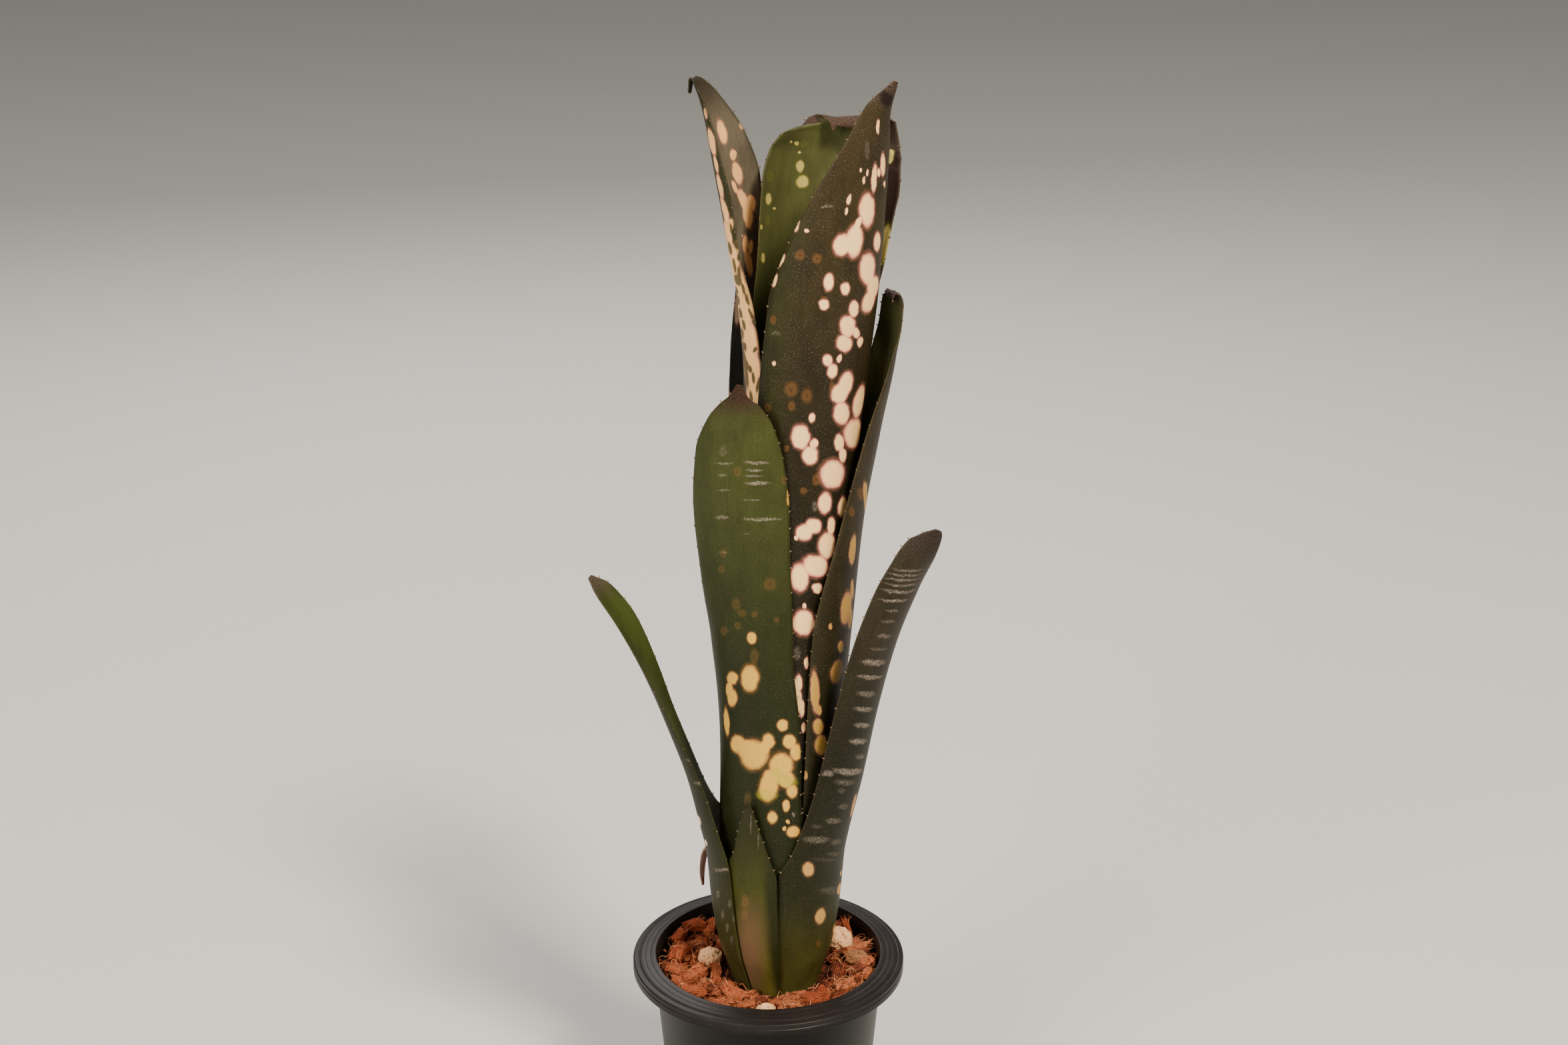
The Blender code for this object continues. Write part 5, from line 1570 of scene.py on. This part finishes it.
def buildChips():
    rng = random.Random(chipShape["seed"])
    kinds = [modelChip(kind) for kind in range(chipShape["kinds"])]
    placed = placedChips()
    wild = [wildChip(rng, number / chipShape["chips"], placed) for number in range(chipShape["chips"])]
    spots = [spot for spot in placed + wild if spot]
    copies = []
    for number, (place, turned, size, tint) in enumerate(spots):
        kind = kinds[number % len(kinds)]
        scaled = getPoints(kind.data) * np.array(size)
        shift = rng.uniform(0, chipShape["grainShift"])
        copies.append(addTinted("chip", kind, scaled, turned, place, shift, tint))
    for kind in kinds:
        bpy.data.objects.remove(kind, do_unlink=True)
    chips = joinAll(copies)
    pick(chips)
    bpy.ops.object.shade_smooth_by_angle(angle=math.radians(42))
    print("chips done:", len(copies), "chips,", len(chips.data.polygons), "faces")
    return chips, spots


def surfaceAt(piece, x, y):
    # height of the topmost chip at a place, or of the bed
    hit, place, _, _ = piece.ray_cast(Vector((x, y, 0.2)), Vector((0, 0, -1)))
    bed = bedHeight(math.hypot(x, y))
    return max(place.z, bed) if hit else bed


def keptInside(place):
    # clear of the wall and of the plant
    edge = potInside(min(place.z, potShape["height"])) - fibreShape["clear"]
    if place.xy.length > edge:
        place.xy = place.xy.normalized() * edge
    away = fromPlant(place)
    room = bundleRadius(place.z, 0) + fibreShape["clear"]
    if away.length < room:
        place.xy = Vector((plant["axisX"], 0)) + away.normalized() * room
    place.z = min(place.z, chipShape["ceiling"])
    return place


def buildCrumbs(chips):
    rng = random.Random(chipShape["seed"] + 1)
    crumb = newPiece(bpy.ops.mesh.primitive_ico_sphere_add, subdivisions=1, radius=1)
    base = getPoints(crumb.data)
    copies = []
    for _ in range(chipShape["crumbs"]):
        radius = potShape["mouth"] * math.sqrt(rng.uniform(0.2, 0.95))
        x, y = ringPoint(radius, rng.uniform(0, math.tau))
        place = keptInside(Vector((x, y, surfaceAt(chips, x, y) + 0.0001)))
        size = np.array(within(rng, *chipShape["crumb"]))
        turned = tossed(rng, chipShape["crumbTilt"])
        rough = base * np.array([[rng.uniform(0.7, 1.2)] for _ in base]) * size
        shift = rng.uniform(0, chipShape["grainShift"])
        tint = (rng.random(), rng.random(), 1.0)
        copies.append(addTinted("crumb", crumb, rough, turned, place, shift, tint))
    bpy.data.objects.remove(crumb, do_unlink=True)
    return joinAll([chips] + copies)


def newHairs(name, steps):
    curve = bpy.data.curves.new(name, "CURVE")
    curve.dimensions = "3D"
    curve.bevel_depth = fibreShape["radius"]
    curve.bevel_resolution = 0
    curve.resolution_u = steps
    return curve


def addHair(curve, points, thick):
    spline = curve.splines.new("BEZIER")
    spline.bezier_points.add(len(points) - 1)
    for number, (point, place) in enumerate(zip(spline.bezier_points, points)):
        point.co = place
        point.handle_left_type = point.handle_right_type = "AUTO"
        point.radius = thick * (1 - 0.7 * number / (len(points) - 1))


def placedHair(course):
    # starts above the bed, and comes a little nearer at each of its pixels
    eye, start = Vector(photoView["eye"]), onBed(*course[0], fibreShape["placedLift"])
    far, nearer = (start - eye).length / photoRay(*course[0]).length, fibreShape["nearer"]
    return [keptInside(eye + photoRay(x, y) * (far - nearer * n)) for n, (x, y) in enumerate(course)]


def looseHair(rng, chips, steps=7):
    # arches over the chips, and curls as it goes
    turn, angle = rng.uniform(0, math.tau), rng.uniform(0, math.tau)
    x, y = ringPoint(rng.uniform(*fibreShape["looseRadius"]), turn)
    length, arch, curl = within(rng, fibreShape["looseLength"], fibreShape["arch"], fibreShape["curl"])
    points = []
    for step in range(steps + 1):
        height = surfaceAt(chips, x, y) + 0.0002 + arch * math.sin(math.pi * step / steps)
        points.append(keptInside(Vector((x, y, height))))
        angle += curl * rng.uniform(0.3, 1.4)
        x += math.cos(angle) * length / steps
        y += math.sin(angle) * length / steps
    return points


def frayedHair(rng, place, turned, size, steps=3):
    # a short hair at one end of a chip
    side = rng.choice((-1, 1)) * rng.uniform(0.3, 0.48)
    aside, rise, veer, lift = within(rng, (-0.4, 0.4), (0, 0.45), (-0.6, 0.6), (-0.2, 0.7))
    length = rng.uniform(*fibreShape["frayedLength"])
    root = place + turned @ Vector((side * size.x, aside * size.y, rise * size.z))
    heading = turned @ Vector((math.copysign(1, side), veer, lift))
    points = []
    for step in range(steps + 1):
        sag = Vector(within(rng, (-1, 1), (-1, 1), (-1.2, 0.4))) * fibreShape["sag"] * step
        points.append(keptInside(root + heading * (length * step / steps) + sag))
    return points


def buildFibres(chips, spots):
    rng = random.Random(fibreShape["seed"])
    longHairs = newHairs("longHairs", 3)
    shortHairs = newHairs("shortHairs", 1)
    for thick, course in fibreShape["placed"]:
        addHair(longHairs, placedHair(course), thick)
    for _ in range(fibreShape["loose"]):
        addHair(longHairs, looseHair(rng, chips), rng.uniform(0.7, 1.5))
    for place, turned, size, _ in spots:
        hairs = fibreShape["frayed"] if place.z >= fibreShape["frayedAbove"] else 0
        for _ in range(hairs):
            addHair(shortHairs, frayedHair(rng, place, turned, size), rng.uniform(0.6, 1.2))
    pieces = []
    for curve in (longHairs, shortHairs):
        piece = bpy.data.objects.new("hairs", curve)
        bpy.context.collection.objects.link(piece)
        pick(piece)
        bpy.ops.object.convert(target="MESH")
        pieces.append(bpy.context.view_layer.objects.active)
    whole = joinAll(pieces)
    whole.data.shade_smooth()
    return whole


def makeHuskMaterial():
    # each chip has its own tint, with fibres along its grain
    material, tree, shader = newMaterial("huskFibrous", roughness=0.9, specular=0.15)
    grain = addAttribute(tree, "grainPlace")
    tint = addParts(tree, addAttribute(tree, "chipTint"))
    fibre = addNoise(tree, stretch(tree, grain, (0.45, 3.4, 3.4)), 1.0, 4.0, 0.7)
    pith = addNoise(tree, grain, 0.8, 4.0, 0.65)
    # the second tint share mixes a darker husk ink towards a paler one: a random tone on the wild chips, and
    # on the listed chips partly painted shade and light
    light = addMix(tree, tint[1], ink(170, 77, 42), ink(216, 131, 85))
    colour = addMix(tree, addRange(tree, fibre, 0.32, 0.62), ink(92, 32, 15), light)
    colour = addMix(tree, addRange(tree, pith, 0.46, 0.70, 0.0, 0.7), colour, ink(118, 48, 24))
    bark = addMix(tree, addRange(tree, fibre, 0.35, 0.62), ink(52, 20, 12), ink(118, 58, 36))
    colour = addMix(tree, addRange(tree, tint[0], 0.25, 0.85, 0.0, 0.9), colour, bark)
    wire(tree, colour, shader.inputs["Base Color"])
    relief = addMath(tree, "MULTIPLY_ADD", fibre, 0.9, times(tree, pith, 0.7))
    addBump(tree, shader, relief, 0.0009)
    return material


bedLook = {
    "roughness": 0.95, "specular": 0.1, "stretch": (1, 1, 1), "noise": (420.0, 6.0, 0.7), "bump": 0.0010,
    "spread": (0.38, 0.68), "low": (30, 14, 9), "high": (96, 44, 24),
}

hairLook = {
    "roughness": 0.7, "specular": 0.25, "stretch": (1, 1, 1), "noise": (190.0, 2.0, 0.5), "bump": 0,
    "spread": (0.38, 0.62), "low": (160, 78, 40), "high": (214, 148, 98),
}

stemLook = {
    "roughness": 0.85, "specular": 0.2, "stretch": (500, 500, 120), "noise": (1.0, 5.0, 0.6), "bump": 0.0005,
    "spread": (0.3, 0.7), "low": (120, 92, 58), "high": (170, 140, 96),
}


def makeGrainMaterial(name, look):
    # two inks mixed by one noise, which may also raise the surface
    material, tree, shader = newMaterial(name, look["roughness"], look["specular"])
    grain = addNoise(tree, stretch(tree, objectPlace(tree), look["stretch"]), *look["noise"])
    colour = addMix(tree, addRange(tree, grain, *look["spread"]), ink(*look["low"]), ink(*look["high"]))
    wire(tree, colour, shader.inputs["Base Color"])
    if look["bump"]:
        addBump(tree, shader, grain, look["bump"])
    return material


def buildMix():
    edge, top = mixShape["surface"][-1]
    profile = [(radius, bedHeight(radius)) for radius in np.linspace(0, edge, mixShape["rings"])]
    foot = potShape["floor"] + mixShape["footLift"]
    for height in (top - mixShape["edgeDrop"], mixShape["waist"], foot):
        profile.append((potInside(height) - mixShape["gap"], height))
    bed = turnPiece(profile + [(0, foot)], mixShape["turns"])
    points = getPoints(bed.data)
    high, wide = mixShape["lumps"]
    for point in points:
        inwards = edge - math.hypot(point[0], point[1])
        if point[2] > mixShape["lumpsAbove"] and inwards > mixShape["edgeDrop"]:
            point[2] += high * noise.fractal(Vector(point) / wide, 0.9, 2.1, 2)
    setPoints(bed.data, points)
    bed.data.shade_smooth()
    finishPiece(bed, "mixBed", "potting_mix", "husk_chips", makeGrainMaterial("mixBed", bedLook))
    chips, spots = buildChips()
    hairs = buildFibres(chips, spots)
    finishPiece(hairs, "huskFibres", "potting_mix", "husk_chips", makeGrainMaterial("huskHair", hairLook))
    chips = buildCrumbs(chips)
    finishPiece(chips, "huskChips", "potting_mix", "husk_chips", makeHuskMaterial())
    print("mix done:", len(chips.data.polygons), "chip faces,", len(hairs.data.polygons), "fibre faces")


# The stem is the frame's own solid, in a woody finish

def dressStem():
    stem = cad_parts["stem"]
    stem.data.materials.clear()
    stem.data.materials.append(makeGrainMaterial("stemCorky", stemLook))
    print("stem done")


# Floor and light

studio = {
    "floor": 30,
    "floorInk": (206, 203, 198),
    "air": (0.80, 0.79, 0.77, 1),
    "airStrength": 0.34,
    "aim": (0.01, 0, 0.24),
    "lamps": [  # name, place, size, watts, colour
        ("keyLight", (1.02, -1.38, 2.35), 0.55, 122, (1, 0.92, 0.80)),
        ("fillLight", (-1.1, -1.3, 1.1), 0.8, 34, (1, 0.96, 0.90)),
        ("backLight", (-0.3, 1.3, 1.3), 0.9, 16, (1, 0.98, 0.96)),
    ],
}


def buildStage():
    floor = newPiece(bpy.ops.mesh.primitive_plane_add, size=studio["floor"], location=(0, 0, 0))
    floor.name = "floor"
    material, _, shader = newMaterial("floorPale", roughness=0.9, specular=0.1)
    shader.inputs["Base Color"].default_value = ink(*studio["floorInk"])
    floor.data.materials.append(material)
    world = bpy.data.worlds.new("studio")
    world.use_nodes = True
    world.node_tree.nodes["Background"].inputs["Color"].default_value = studio["air"]
    world.node_tree.nodes["Background"].inputs["Strength"].default_value = studio["airStrength"]
    bpy.context.scene.world = world
    for name, place, size, watts, colour in studio["lamps"]:
        toPlant = Vector(studio["aim"]) - Vector(place)
        turned = toPlant.to_track_quat("-Z", "Y").to_euler()
        bpy.ops.object.light_add(type="AREA", location=place, rotation=turned)
        light = bpy.context.object
        light.name = name
        light.data.size = size
        light.data.energy = watts
        light.data.color = colour
    print("stage done")


addCamera()
buildStage()
buildPot()
buildStones()
buildMix()
dressStem()
thorn = modelSpine()
for leaf in leaves:
    buildLeaf(leaf, thorn)
bpy.data.objects.remove(thorn, do_unlink=True)
